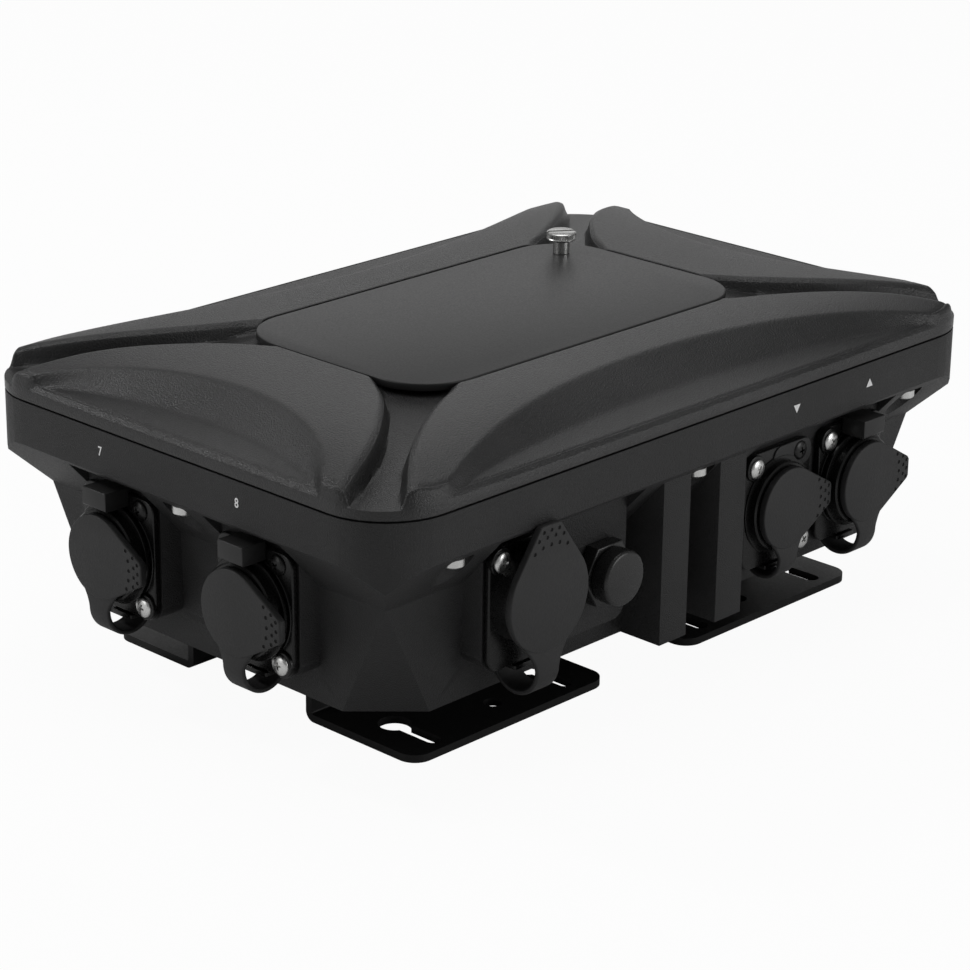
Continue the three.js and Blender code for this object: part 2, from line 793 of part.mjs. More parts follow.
/** The half of the strap loop that stays on the connector, and its root under the flange. */
function strapTail(capFront, drop, axisZ, width, flangeZ) {
  const { y, z, outer, inner } = strapLoop(capFront, drop, axisZ);
  const rootZ = flangeZ - flangeHeight / 2 - bossMargin - gap;
  const ring = strip(ringPart(y, z, outer, inner, Math.PI * 1.5, Math.PI * 2), -width / 2, width / 2);
  const above = block(-width, width, y, y + outer + overrun, rootZ, z + overrun);
  const split = block(-width, width, y - gap, y + gap / 2, z - outer - overrun, z);
  const bend = ring.subtract(above).subtract(split);
  const reach = y + Math.sqrt(inner * inner - (z - rootZ) * (z - rootZ)) + gap;
  const lug = block(-width / 2, width / 2, flangeInset, reach, rootZ - strapThickness, rootZ);
  const tabTop = rootZ + bossMargin + gap * 2;
  const tab = block(-width / 2, width / 2, flangeInset, flangeBack, rootZ - strapThickness, tabTop);
  return joined([bend, lug, tab]);
}

/** Where the strap bends round under its connector, seen from the side. */
function strapLoop(capFront, drop, axisZ) {
  const outer = (strapBack - capFront) / 2;
  return { y: capFront + outer, z: axisZ - drop, outer, inner: outer - strapThickness };
}

function flange(z) {
  return plate(roundRect(flangeWidth, flangeHeight, flangeCorner, 0, z), flangeInset, flangeBack);
}

function ridge(radius, z, y) {
  return bar(radius, 0, z, y - ridgeWidth, y, fineSteps);
}

const latchZ = connectorZ + ridgeRadius + latchLift;
const closedCapFront = -capThickness - gap;

function latchNotch() {
  const half = latchWidth / 2 + gap;
  return block(-half, half, -overrun, bossInset, latchZ - gap, latchZ + latchHeight + overrun);
}

function outputSocket() {
  const z = connectorZ;
  const outside = joined([
    flange(z),
    bar(barrelRadius, 0, z, flangeInset + gap, flangeBack + barrelDepth, barrelSteps),
    bar(collarRadius, 0, z, 0, flangeInset + gap, fineSteps),
    ridge(ridgeRadius, z, flangeInset + gap),
    ridge(ridgeRadius, z, flangeInset + gap - ridgePitch),
    strapTail(closedCapFront, strapDrop, z, strapWidth, z),
  ]);
  const bore = bar(boreRadius, 0, z, -overrun, boreDepth, barrelSteps);
  const insert = bar(insertRadius, 0, z, insertInset, boreDepth + gap, barrelSteps);
  return outside.subtract(latchNotch()).subtract(bore).add(insert);
}

function inputPlug() {
  const z = connectorZ;
  const outside = joined([
    flange(z),
    bar(barrelRadius, 0, z, flangeInset + gap, flangeBack + barrelDepth, barrelSteps),
    bar(collarRadius, 0, z, inputInset, flangeInset + gap, fineSteps),
    ridge(ridgeRadius, z, flangeInset + gap),
    strapTail(inputInset + closedCapFront, strapDrop, z, strapWidth, z),
  ]);
  const cup = outside.subtract(bar(inputBoreRadius, 0, z, inputInset - overrun, boreDepth, barrelSteps));
  const pins = [];
  for (let pin = 0; pin < pinCount; pin += 1) {
    const angle = (pin - 1 / 2) * Math.PI * 2 / hexSteps;
    const [x, up] = [pinCircle * Math.cos(angle), pinCircle * Math.sin(angle)];
    pins.push(bar(pinRadius, x, z + up, pinInset, boreDepth + gap, hexSteps));
  }
  return joined([cup, ...pins]);
}

function powerInlet() {
  const z = inletZ;
  const outside = joined([
    flange(z - inletDrop),
    bar(barrelRadius, 0, z, flangeInset + gap, flangeBack + barrelDepth, barrelSteps),
    bar(inletCollarRadius, 0, z, 0, flangeInset + gap, fineSteps),
    strapTail(closedCapFront, powerStrapDrop, z, powerStrapWidth, z - inletDrop),
  ]);
  const bore = bar(inletBoreRadius, 0, z, -overrun, boreDepth, fineSteps);
  const insert = bar(inletInsertRadius, 0, z, insertInset, boreDepth + gap);
  return outside.subtract(bore).add(insert);
}

/** A disc with a truncated point towards an angle, about (0, z). */
function capOutline(radius, tip, tipWidth, z, turn) {
  const reach = Math.hypot(tip, tipWidth / 2);
  const tangent = Math.atan2(tipWidth / 2, tip) + Math.acos(radius / reach);
  const [cos, sin] = [Math.cos(turn), Math.sin(turn)];
  const turned = (x, y) => [x * cos - y * sin, z + x * sin + y * cos];
  const shape = new THREE.Shape();
  shape.moveTo(...turned(tip, -tipWidth / 2));
  shape.lineTo(...turned(tip, tipWidth / 2));
  shape.absarc(0, z, radius, tangent + turn, Math.PI * 2 - tangent + turn);
  shape.closePath();
  return shape;
}

/** A rubber cap: disc, plug in the bore, and the strap by a neck down to the bend. */
function cap(front, outline, radius, plugRadius, drop, z, width) {
  const back = front + capThickness;
  const disc = plate(outline, front, back, capSteps);
  const plug = bar(plugRadius, 0, z, back - gap, back + gap + capPlugDepth, barrelSteps);
  const loop = strapLoop(front, drop, z);
  const bendShape = ringPart(loop.y, loop.z, loop.outer, loop.inner, Math.PI, Math.PI * 1.5);
  const bend = strip(bendShape, -width / 2, width / 2);
  const neckZ = z - radius * neckShare;
  const neckHalf = radius * Math.sqrt(1 - neckShare * neckShare);
  const footZ = loop.z - gap;
  const neck = polygon([[-width / 2, footZ], [width / 2, footZ], [neckHalf, neckZ], [-neckHalf, neckZ]]);
  const leg = plate(neck, front, front + strapThickness);
  const cut = block(-width, width, loop.y - gap / 2, loop.y + gap, loop.z - loop.outer - overrun, loop.z);
  return joined([disc, plug, leg, bend.subtract(cut)]);
}

function socketCap() {
  const outline = capOutline(capRadius, capTip, capTipWidth, connectorZ, 0);
  const plugRadius = boreRadius - capPlugPlay;
  return cap(closedCapFront, outline, capRadius, plugRadius, strapDrop, connectorZ, strapWidth);
}

function inputCap() {
  const outline = capOutline(capRadius, capTip, capTipWidth, connectorZ, 0);
  const front = inputInset + closedCapFront;
  const plugRadius = inputBoreRadius - capPlugPlay;
  return cap(front, outline, capRadius, plugRadius, strapDrop, connectorZ, strapWidth);
}

function powerCap() {
  const outline = capOutline(powerCapRadius, powerCapTip, powerCapTipWidth, inletZ, Math.PI / 2);
  const plugRadius = inletBoreRadius - capPlugPlay;
  return cap(closedCapFront, outline, powerCapRadius, plugRadius, powerStrapDrop, inletZ, powerStrapWidth);
}

function latch() {
  const side = polygon([
    [-latchFront, latchZ + latchTaper],
    [-latchFront + latchTaper, latchZ],
    [-latchFront + latchLength, latchZ],
    [-latchFront + latchLength, latchZ + latchHeight],
    [-latchFront, latchZ + latchHeight],
  ]);
  return strip(side, -latchWidth / 2, latchWidth / 2);
}

// Fuse, built facing the front wall about x = 0

const fuseInset = fuseBezelInset - gap + fuseStemLength + gap;

function fuseHolder() {
  const bezel = bar(fuseBezelRadius, 0, fuseZ, fuseBezelInset, flangeBack, hexSteps);
  const tube = bar(fuseHolderRadius, 0, fuseZ, flangeBack - gap, fuseBezelInset + fuseHolderLength);
  const bore = bar(fuseBoreRadius, 0, fuseZ, fuseBezelInset - overrun, fuseInset + fuseLength + gap);
  return bezel.add(tube).subtract(bore);
}

function fuseCap() {
  const back = fuseBezelInset - gap;
  const knob = bar(fuseKnobRadius, 0, fuseZ, -fuseKnobProud, back);
  const stem = bar(fuseStemRadius, 0, fuseZ, back - gap, back + fuseStemLength);
  return knob.add(stem);
}

function fuse() {
  return bar(fuseRadius, 0, fuseZ, fuseInset, fuseInset + fuseLength, smallSteps);
}

function fuseNut() {
  const face = footInset + wallThickness + gap;
  const nut = bar(fuseNutRadius, 0, fuseZ, face, face + fuseNutHeight, hexSteps);
  const hole = bar(fuseHolderRadius + gap, 0, fuseZ, face - overrun, face + fuseNutHeight + overrun);
  return nut.subtract(hole);
}

// Brackets, built about their own middle

function keyhole(x) {
  const holeTop = bracketSheet + overrun;
  const round = post(keyholeRadius, x, -keyholeY, -overrun, holeTop, roundSteps);
  const far = -keyholeY - keyholeSlotLength + keyholeSlotWidth / 2;
  const end = post(keyholeSlotWidth / 2, x, far, -overrun, holeTop);
  const [left, right] = [x - keyholeSlotWidth / 2, x + keyholeSlotWidth / 2];
  return joined([round, end, block(left, right, far, -keyholeY, -overrun, holeTop)]);
}

/** A bracket whose round holes are shifted towards the middle of the body. */
function bracket(side) {
  const topZ = bottomZ - gap;
  const underZ = topZ - bracketSheet;
  const profile = polygon([
    [-bracketReach, 0],
    [-bracketFrontLeg + bracketSheet, 0],
    [-bracketFrontLeg + bracketSheet, underZ],
    [bracketRearLeg - bracketSheet, underZ],
    [bracketRearLeg - bracketSheet, 0],
    [bracketReach, 0],
    [bracketReach, bracketSheet],
    [bracketRearLeg, bracketSheet],
    [bracketRearLeg, topZ],
    [-bracketFrontLeg, topZ],
    [-bracketFrontLeg, bracketSheet],
    [-bracketReach, bracketSheet],
  ]);
  const hat = strip(profile, -bracketWidth / 2, bracketWidth / 2);
  const plan = slab(roundRect(bracketWidth, bracketReach * 2, bracketCorner), -overrun, bottomZ);
  const cuts = [
    keyhole(-keyholeSpread),
    keyhole(keyholeSpread),
    post(roundHoleRadius, -side * roundHoleShift, -roundHoleY, -overrun, bracketSheet + overrun),
    post(roundHoleRadius, -side * roundHoleShift, roundHoleY, -overrun, bracketSheet + overrun),
    ...bracketScrewPlaces.map((y) => post(bracketScrewShankRadius + gap, 0, y, underZ - overrun, bottomZ)),
  ];
  return cuts.reduce((rest, cut) => rest.subtract(cut), hat.intersect(plan));
}

function bracketScrew(y) {
  const headTop = bottomZ - gap - bracketSheet - gap;
  const head = post(bracketScrewHeadRadius, 0, y, headTop - bracketScrewHeadHeight, headTop);
  return head.add(post(bracketScrewShankRadius, 0, y, headTop - gap, bottomZ + bracketScrewBite));
}

// Boards

function mainBoard() {
  const board = slab(roundRect(boardLength, boardWidth, bossCorner), boardZ, boardZ + boardThickness);
  const isolators = [];
  for (let index = 0; index < isolatorCount; index += 1) {
    const x = (index - (isolatorCount - 1) / 2) * isolatorPitch;
    const [left, right] = [x - isolatorLength / 2, x + isolatorLength / 2];
    const [front, back] = [isolatorY - isolatorWidth / 2, isolatorY + isolatorWidth / 2];
    isolators.push(block(left, right, front, back, boardZ + gap, boardZ + boardThickness + isolatorHeight));
  }
  return joined([board, ...isolators]);
}

function powerSupply() {
  const z = boardZ + boardThickness + gap;
  return slab(roundRect(supplyLength, supplyWidth, supplyCorner, supplyX, supplyY), z, z + supplyHeight);
}

function switchBoard() {
  const topZ = lidRoofZ - gap;
  const plan = roundRect(switchBoardLength, switchBoardWidth, bossCorner);
  const board = slab(plan, topZ - boardThickness, topZ);
  const [reach, side] = [switchLength / 2, switchWidth / 2];
  return board.add(block(-reach, reach, -side, side, topZ - gap, topZ + switchHeight));
}

// Finishes

function finish(color, roughness, metalness) {
  return new THREE.MeshStandardMaterial({ color, roughness, metalness });
}

const castBlack = () => finish(0x2e2f31, 0.62, 0.2);
const rubberBlack = () => finish(0x232324, 0.75, 0);
const plasticBlack = () => finish(0x151516, 0.5, 0);
const bareSteel = () => finish(0xc9cacb, 0.3, 1);
const glassClear = () => finish(0xd8dde0, 0.1, 0);
const boardGreen = () => finish(0x1f5135, 0.5, 0);

// The splitter

const splitter = new THREE.Group();

function put(name, body, material, group = splitter) {
  const mesh = new THREE.Mesh(geometryOf(body), material);
  mesh.name = name;
  group.add(mesh);
}

function wallGroup(wallName, x) {
  const { angle, x: wallX, y: wallY } = walls[wallName];
  const group = new THREE.Group();
  group.position.set(wallX + x * Math.cos(angle), wallY + x * Math.sin(angle), 0);
  group.rotation.z = angle;
  splitter.add(group);
  return group;
}

put("base_housing", housing(), castBlack());
put("lid", lid(), castBlack());
put("lid_seal", lidSeal(), rubberBlack());
put("cover_plate", coverPlate(), castBlack());
put("cover_seal", sealRing(0, recessZ - sealDepth, recessZ), rubberBlack());
put("thumb_screw", thumbScrew(), bareSteel());

for (const { number, wall, x } of outputs) {
  const group = wallGroup(wall, x);
  put(`output_socket_${number}`, outputSocket(), plasticBlack(), group);
  put(`output_cap_${number}`, socketCap(), rubberBlack(), group);
  put(`output_latch_${number}`, latch(), plasticBlack(), group);
}

const throughGroup = wallGroup(through.wall, through.x);
put("through_socket", outputSocket(), plasticBlack(), throughGroup);
put("through_cap", socketCap(), rubberBlack(), throughGroup);
put("through_latch", latch(), plasticBlack(), throughGroup);

const inputGroup = wallGroup(input.wall, input.x);
put("input_plug", inputPlug(), plasticBlack(), inputGroup);
put("input_cap", inputCap(), rubberBlack(), inputGroup);

const inletGroup = wallGroup(inlet.wall, inlet.x);
put("power_inlet", powerInlet(), plasticBlack(), inletGroup);
put("power_cap", powerCap(), rubberBlack(), inletGroup);

const fuseGroup = wallGroup("front", fuseX);
put("fuse_holder", fuseHolder(), plasticBlack(), fuseGroup);
put("fuse_nut", fuseNut(), plasticBlack(), fuseGroup);
put("fuse_cap", fuseCap(), plasticBlack(), fuseGroup);
put("fuse", fuse(), glassClear(), fuseGroup);

lidScrews.forEach(({ wall, x }, index) => {
  put(`lid_screw_${index + 1}`, lidScrew(0), bareSteel(), wallGroup(wall, x));
});

[["left", -bracketCentre], ["right", bracketCentre]].forEach(([side, x], index) => {
  const group = new THREE.Group();
  group.position.x = x;
  splitter.add(group);
  put(`bracket_${side}`, bracket(Math.sign(x)), castBlack(), group);
  bracketScrewPlaces.forEach((y, place) => {
    const number = index * bracketScrewPlaces.length + place + 1;
    put(`bracket_screw_${number}`, bracketScrew(y), bareSteel(), group);
  });
});

put("main_board", mainBoard(), boardGreen());
put("power_supply", powerSupply(), plasticBlack());
put("switch_board", switchBoard(), boardGreen());

export default splitter;
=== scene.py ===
"""Looks of the DMX splitter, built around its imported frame."""

import logging
import math
from dataclasses import dataclass
from enum import Enum
from typing import Callable, Optional, Sequence

import bmesh
import bpy
from bmesh.types import BMesh
from mathutils import Matrix, Vector


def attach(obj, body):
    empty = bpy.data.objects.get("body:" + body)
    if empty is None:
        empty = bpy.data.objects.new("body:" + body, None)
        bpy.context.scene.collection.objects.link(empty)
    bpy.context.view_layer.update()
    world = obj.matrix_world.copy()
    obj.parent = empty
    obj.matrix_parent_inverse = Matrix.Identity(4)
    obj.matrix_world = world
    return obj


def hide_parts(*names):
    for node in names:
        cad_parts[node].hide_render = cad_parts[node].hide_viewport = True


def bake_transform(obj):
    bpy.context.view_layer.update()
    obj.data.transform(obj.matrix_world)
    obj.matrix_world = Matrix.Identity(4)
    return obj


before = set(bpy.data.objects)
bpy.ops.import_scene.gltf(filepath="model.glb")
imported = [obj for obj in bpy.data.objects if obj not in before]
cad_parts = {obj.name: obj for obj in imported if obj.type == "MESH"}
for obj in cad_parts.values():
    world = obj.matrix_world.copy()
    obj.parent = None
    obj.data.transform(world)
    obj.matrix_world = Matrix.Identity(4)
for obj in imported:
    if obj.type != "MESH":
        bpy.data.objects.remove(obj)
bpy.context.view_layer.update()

LOG = logging.getLogger("splitter")
MM = 0.001
MERGE = 0.002
TINY = 1e-6
FLAT_ANGLE = 1.5
ROOT = "root"
Point = tuple[float, float]
Place = Callable[[int, int], Sequence[float]]


class Wall(Enum):
    """The four walls: how far round each is turned, and its middle."""

    FRONT = (0.0, 0.0, -72.5)
    RIGHT = (90.0, 111.0, 0.0)
    REAR = (180.0, 0.0, 72.5)
    LEFT = (-90.0, -111.0, 0.0)

    def matrix(self, x: float = 0.0) -> Matrix:
        """Placement of what was built facing the wall.

        Args:
            x: distance along the wall to the viewer's right, in millimetres.

        Returns:
            The placement, in millimetres.
        """
        turn, wall_x, wall_y = self.value
        angle = math.radians(turn)
        place = (wall_x + x * math.cos(angle), wall_y + x * math.sin(angle), 0.0)
        return Matrix.Translation(place) @ Matrix.Rotation(angle, 4, "Z")


# Turns a plan outline into one that stands on a wall: plan Y is up, plan Z is outward.
UPRIGHT = Matrix.Rotation(math.radians(90.0), 4, "X")


# How every finish's noise is laid out
BROAD_GRAIN = 22.0
BROAD_DETAIL = 4.0
BROAD_SHARE = 0.5
FINE_DETAIL = 2.0
NOISE_ROUGHNESS = 0.6
NOISE_SPAN = (0.3, 0.7)
RAMP_ENDS = (0.2, 0.8)
SHEEN_SPREAD = 0.06
BUMP_STRENGTH = 0.6


class Pattern(Enum):
    """How a finish's grain is drawn out along the three axes."""

    PEBBLE = (1.0, 1.0, 1.0)
    TURNED = (1.0, 1.0, 0.2)


@dataclass(frozen=True)
class Finish:
    """One finish, with its grain, its mottling and its sheen.

    Attributes:
        name: the material's name.
        slot: the record's material slot; not used.
        colour: linear colour.
        roughness: middle of the roughness.
        metallic: 0 or 1.
        grain: size of the grain's features per metre.
        depth: height of the grain in metres.
        mottle: share by which the colour varies.
        specular: level of the plain reflection.
        pattern: how the grain runs.
        transmission: share of light let through.
    """

    name: str
    slot: str
    colour: tuple[float, float, float]
    roughness: float
    metallic: float = 0.0
    grain: float = 1400.0
    depth: float = 0.00006
    mottle: float = 0.12
    specular: float = 0.5
    pattern: Pattern = Pattern.PEBBLE
    transmission: float = 0.0

    def _coordinates(self, tree: bpy.types.NodeTree) -> bpy.types.NodeSocket:
        """Object coordinates, drawn out as the grain runs.

        Args:
            tree: the material's nodes.

        Returns:
            The socket that the textures read.
        """
        source = tree.nodes.new("ShaderNodeTexCoord")
        mapping = tree.nodes.new("ShaderNodeMapping")
        mapping.inputs["Scale"].default_value = self.pattern.value
        tree.links.new(source.outputs["Object"], mapping.inputs["Vector"])
        return mapping.outputs["Vector"]

    def _noise(self, tree: bpy.types.NodeTree, scale: float, detail: float) -> bpy.types.NodeSocket:
        """A noise texture on the object's coordinates.

        Args:
            tree: the material's nodes.
            scale: features per metre.
            detail: how many finer layers it has.

        Returns:
            The socket with its value.
        """
        noise = tree.nodes.new("ShaderNodeTexNoise")
        noise.inputs["Scale"].default_value = scale
        noise.inputs["Detail"].default_value = detail
        noise.inputs["Roughness"].default_value = NOISE_ROUGHNESS
        tree.links.new(self._coordinates(tree), noise.inputs["Vector"])
        return noise.outputs["Fac"]

    def _mapped(
        self, tree: bpy.types.NodeTree, value: bpy.types.NodeSocket, low: float, high: float
    ) -> bpy.types.NodeSocket:
        """Spreads a noise value between two limits.

        Args:
            tree: the material's nodes.
            value: the noise.
            low: result at the noise's low end.
            high: result at its high end.

        Returns:
            The spread value.
        """
        node = tree.nodes.new("ShaderNodeMapRange")
        node.inputs["From Min"].default_value = NOISE_SPAN[0]
        node.inputs["From Max"].default_value = NOISE_SPAN[1]
        node.inputs["To Min"].default_value = low
        node.inputs["To Max"].default_value = high
        tree.links.new(value, node.inputs["Value"])
        return node.outputs["Result"]

    def material(self) -> bpy.types.Material:
        """The finish as a material, made once.

        Returns:
            The material.
        """
        known = bpy.data.materials.get(self.name)
        if known is not None:
            return known
        material = bpy.data.materials.new(self.name)
        material.use_nodes = True
        tree = material.node_tree
        shader = tree.nodes["Principled BSDF"]
        shader.inputs["Metallic"].default_value = self.metallic
        shader.inputs["Specular IOR Level"].default_value = self.specular
        shader.inputs["Transmission Weight"].default_value = self.transmission
        fine = self._noise(tree, self.grain, FINE_DETAIL)
        broad = self._noise(tree, BROAD_GRAIN, BROAD_DETAIL)
        both = tree.nodes.new("ShaderNodeMath")
        both.operation = "MULTIPLY_ADD"
        both.inputs[1].default_value = 1 - BROAD_SHARE
        tree.links.new(fine, both.inputs[0])
        part = self._mapped(tree, broad, 0.0, BROAD_SHARE)
        tree.links.new(part, both.inputs[2])
        ramp = tree.nodes.new("ShaderNodeValToRGB")
        for index, level in enumerate((1 - self.mottle, 1 + self.mottle)):
            ramp.color_ramp.elements[index].color = (*[c * level for c in self.colour], 1.0)
            ramp.color_ramp.elements[index].position = RAMP_ENDS[index]
        tree.links.new(both.outputs["Value"], ramp.inputs["Fac"])
        tree.links.new(ramp.outputs["Color"], shader.inputs["Base Color"])
        rough = self._mapped(tree, fine, self.roughness - SHEEN_SPREAD, self.roughness + SHEEN_SPREAD)
        tree.links.new(rough, shader.inputs["Roughness"])
        bump = tree.nodes.new("ShaderNodeBump")
        bump.inputs["Strength"].default_value = BUMP_STRENGTH
        bump.inputs["Distance"].default_value = self.depth
        tree.links.new(fine, bump.inputs["Height"])
        tree.links.new(bump.outputs["Normal"], shader.inputs["Normal"])
        return material


CAST = Finish(
    "powder_coated_casting", "cast", (0.014, 0.014, 0.0143), 0.5,
    grain=3000.0, depth=0.0006, mottle=0.35, specular=0.42,
)
LID_CAST = Finish(
    "powder_coated_lid", "cast", (0.014, 0.014, 0.0143), 0.34,
    grain=2200.0, depth=0.0004, mottle=0.5, specular=0.5,
)
COVER = Finish(
    "satin_cover_sheet", "sheet", (0.018, 0.018, 0.0183), 0.42,
    grain=2600.0, depth=0.00005, mottle=0.1, specular=0.45,
)
SHEET = Finish(
    "satin_bracket_sheet", "sheet", (0.01, 0.01, 0.01), 0.42,
    grain=2200.0, depth=0.00005, mottle=0.15, specular=0.3,
)
PLASTIC = Finish(
    "moulded_plastic", "plastic", (0.004, 0.004, 0.004), 0.3,
    grain=3000.0, depth=0.00002, mottle=0.15, specular=0.35,
)
LATCH = Finish(
    "latch_plastic", "plastic", (0.014, 0.014, 0.014), 0.42,
    grain=2600.0, depth=0.00003, mottle=0.12, specular=0.4,
)
FUSE = Finish(
    "fuse_plastic", "plastic", (0.014, 0.014, 0.014), 0.3,
    grain=2800.0, depth=0.00002, mottle=0.1, specular=0.45,
)
RUBBER = Finish(
    "cap_rubber", "rubber", (0.018, 0.018, 0.0183), 0.55,
    grain=1800.0, depth=0.00009, mottle=0.2, specular=0.4,
)
SEAL = Finish(
    "seal_rubber", "rubber", (0.008, 0.008, 0.008), 0.7,
    grain=1500.0, depth=0.00005, mottle=0.2, specular=0.2,
)
STEEL = Finish(
    "plated_steel", "steel", (0.66, 0.66, 0.65), 0.3, metallic=1.0,
    grain=2500.0, depth=0.00001, mottle=0.08, pattern=Pattern.TURNED,
)
PRINT = Finish(
    "white_print", "cast", (0.82, 0.82, 0.82), 0.55,
    grain=3000.0, depth=0.00001, mottle=0.03,
)
GLASS = Finish(
    "fuse_glass", "glass", (0.85, 0.88, 0.88), 0.1,
    grain=900.0, depth=0.00001, mottle=0.02, transmission=0.9,
)
BOARD = Finish(
    "board_lacquer", "board", (0.015, 0.09, 0.035), 0.4,
    grain=1300.0, depth=0.00004, mottle=0.25,
)


# Solids, all in millimetres until they become pieces


def loft(columns: int, rows: int, place: Place) -> BMesh:
    """A sheet of faces bent into shape, whose coinciding edges are joined.

    Args:
        columns: faces across.
        rows: faces along.
        place: gives the place of a corner from its column and row.

    Returns:
        The solid.
    """
    bm = bmesh.new()
    bmesh.ops.create_grid(bm, x_segments=columns, y_segments=rows, size=1.0)
    for vert in bm.verts:
        column = round((vert.co.x + 1) / 2 * columns)
        row = round((vert.co.y + 1) / 2 * rows)
        vert.co = place(column, row)
    bmesh.ops.remove_doubles(bm, verts=bm.verts, dist=MERGE)
    bmesh.ops.recalc_face_normals(bm, faces=bm.faces)
    return bm


def slab(outline: Sequence[Point], low: float, high: float, edge: float, segments: int = 3) -> BMesh:
    """A flat plate with rounded rims.

    Args:
        outline: corners of its plan, anticlockwise.
        low: height of its lower face.
        high: height of its upper face.
        edge: radius of its rims.
        segments: faces across each rim.

    Returns:
        The solid.
    """
    bm = bmesh.new()
    ring = bmesh.ops.create_circle(bm, cap_ends=True, segments=len(outline), radius=1.0)["verts"]
    for vert, (x, y) in zip(ring, outline):
        vert.co = (x, y, low)
    raised = bmesh.ops.extrude_face_region(bm, geom=list(bm.faces))["geom"]
    top = [item for item in raised if isinstance(item, bmesh.types.BMVert)]
    bmesh.ops.translate(bm, verts=top, vec=(0.0, 0.0, high - low))
    bmesh.ops.recalc_face_normals(bm, faces=bm.faces)
    if edge > 0:
        rims = [e for e in bm.edges if abs(e.verts[0].co.z - e.verts[1].co.z) < TINY]
        soften(bm, rims, edge, segments)
    return bm


def soften(bm: BMesh, edges: list[bmesh.types.BMEdge], width: float, segments: int = 2) -> None:
    """Rounds edges over.

    Args:
        bm: the solid.
        edges: its edges to round.
        width: how far the rounding reaches.
        segments: faces across it.
    """
    bmesh.ops.bevel(
        bm,
        geom=edges,
        offset=width,
        offset_type="OFFSET",
        affect="EDGES",
        segments=segments,
        profile=0.5,
        material=-1,
        clamp_overlap=True,
    )


def spun(profile: Sequence[Point], steps: int = 64) -> BMesh:
    """A round piece about the wall's inward axis.

    Args:
        profile: radius and depth behind the wall face, from one end of the axis to the other.
        steps: faces round.

    Returns:
        The solid, about x = 0 and z = 0.
    """
    bm = bmesh.new()
    verts = [bm.verts.new((radius, depth, 0.0)) for radius, depth in profile]
    edges = [bm.edges.new(pair) for pair in zip(verts, verts[1:])]
    bmesh.ops.spin(
        bm,
        geom=verts + edges,
        cent=(0.0, 0.0, 0.0),
        axis=(0.0, 1.0, 0.0),
        dvec=(0.0, 0.0, 0.0),
        angle=math.tau,
        steps=steps,
        use_merge=True,
        use_duplicate=False,
    )
    bmesh.ops.remove_doubles(bm, verts=bm.verts, dist=MERGE)
    bmesh.ops.recalc_face_normals(bm, faces=bm.faces)
    return bm


def moved(bm: BMesh, matrix: Matrix) -> BMesh:
    """The same solid at its place.

    Args:
        bm: the solid.
        matrix: its placement.

    Returns:
        The solid itself.
    """
    bmesh.ops.transform(bm, matrix=matrix, verts=bm.verts)
    return bm


def block(x: float, y: float, z: float) -> BMesh:
    """A block about its middle.

    Args:
        x: its length.
        y: its width.
        z: its height.

    Returns:
        The solid.
    """
    bm = bmesh.new()
    bmesh.ops.create_cube(bm, size=1.0)
    return moved(bm, Matrix.Diagonal((x, y, z, 1.0)))


def rod(radius: float, length: float, sides: int, middle: Sequence[float]) -> BMesh:
    """An upright rod.

    Args:
        radius: to its corners.
        length: from end to end.
        sides: how many flat faces it has round its axis.
        middle: its middle.

    Returns:
        The solid.
    """
    bm = bmesh.new()
    bmesh.ops.create_cone(
        bm, cap_ends=True, segments=sides, radius1=radius, radius2=radius, depth=length,
        matrix=Matrix.Translation(middle),
    )
    return bm


def joined(*solids: BMesh) -> BMesh:
    """Several solids in one mesh; the parts are used up.

    Args:
        solids: the parts.

    Returns:
        One mesh.
    """
    whole = solids[0]
    for part in solids[1:]:
        scrap = bpy.data.meshes.new("scrap")
        part.to_mesh(scrap)
        part.free()
        whole.from_mesh(scrap)
        bpy.data.meshes.remove(scrap)
    return whole


def carved(solid: BMesh, cutter: BMesh) -> BMesh:
    """A solid with another cut out of it; both are used up.

    Args:
        solid: what is cut.
        cutter: what cuts.

    Returns:
        What is left.
    """
    objects = []
    for bm in (solid, cutter):
        mesh = bpy.data.meshes.new("scrap")
        bm.to_mesh(mesh)
        bm.free()
        scrap = bpy.data.objects.new("scrap", mesh)
        bpy.context.scene.collection.objects.link(scrap)
        objects.append(scrap)
    modifier = objects[0].modifiers.new("cut", "BOOLEAN")
    modifier.operation = "DIFFERENCE"
    modifier.solver = "EXACT"
    modifier.object = objects[1]
    modifier.use_self = True
    seen = objects[0].evaluated_get(bpy.context.evaluated_depsgraph_get())
    result = bmesh.new()
    result.from_mesh(seen.to_mesh())
    seen.to_mesh_clear()
    for scrap in objects:
        mesh = scrap.data
        bpy.data.objects.remove(scrap)
        bpy.data.meshes.remove(mesh)
    return result


def piece(
    name: str,
    bm: BMesh,
    finish: Finish,
    body: Optional[str] = ROOT,
    stands_for: Sequence[str] = (),
    place: Matrix = Matrix.Identity(4),
    sharp: float = 38.0,
) -> bpy.types.Object:
    """Turns a solid in millimetres into a piece of the object.

    Args:
        name: the piece's name.
        bm: its mesh, which is used up.
        finish: what it is finished in.
        body: the body that it rides on, or None, which leaves it unattached.
        stands_for: the nodes that it replaces.
        place: its placement, in millimetres.
        sharp: angle in degrees past which an edge looks sharp.

    Returns:
        The piece.
    """
    bm.transform(Matrix.Scale(MM, 4) @ place)
    mesh = bpy.data.meshes.new(name)
    bm.to_mesh(mesh)
    bm.free()
    mesh.shade_smooth()
    mesh.set_sharp_from_angle(angle=math.radians(sharp))
    mesh.materials.append(finish.material())
    built = bpy.data.objects.new(name, mesh)
    bpy.context.scene.collection.objects.link(built)
    if stands_for:
        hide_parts(*stands_for)
    if body is not None:
        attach(built, body)
    LOG.info("%s: %d faces", name, len(mesh.polygons))
    return built


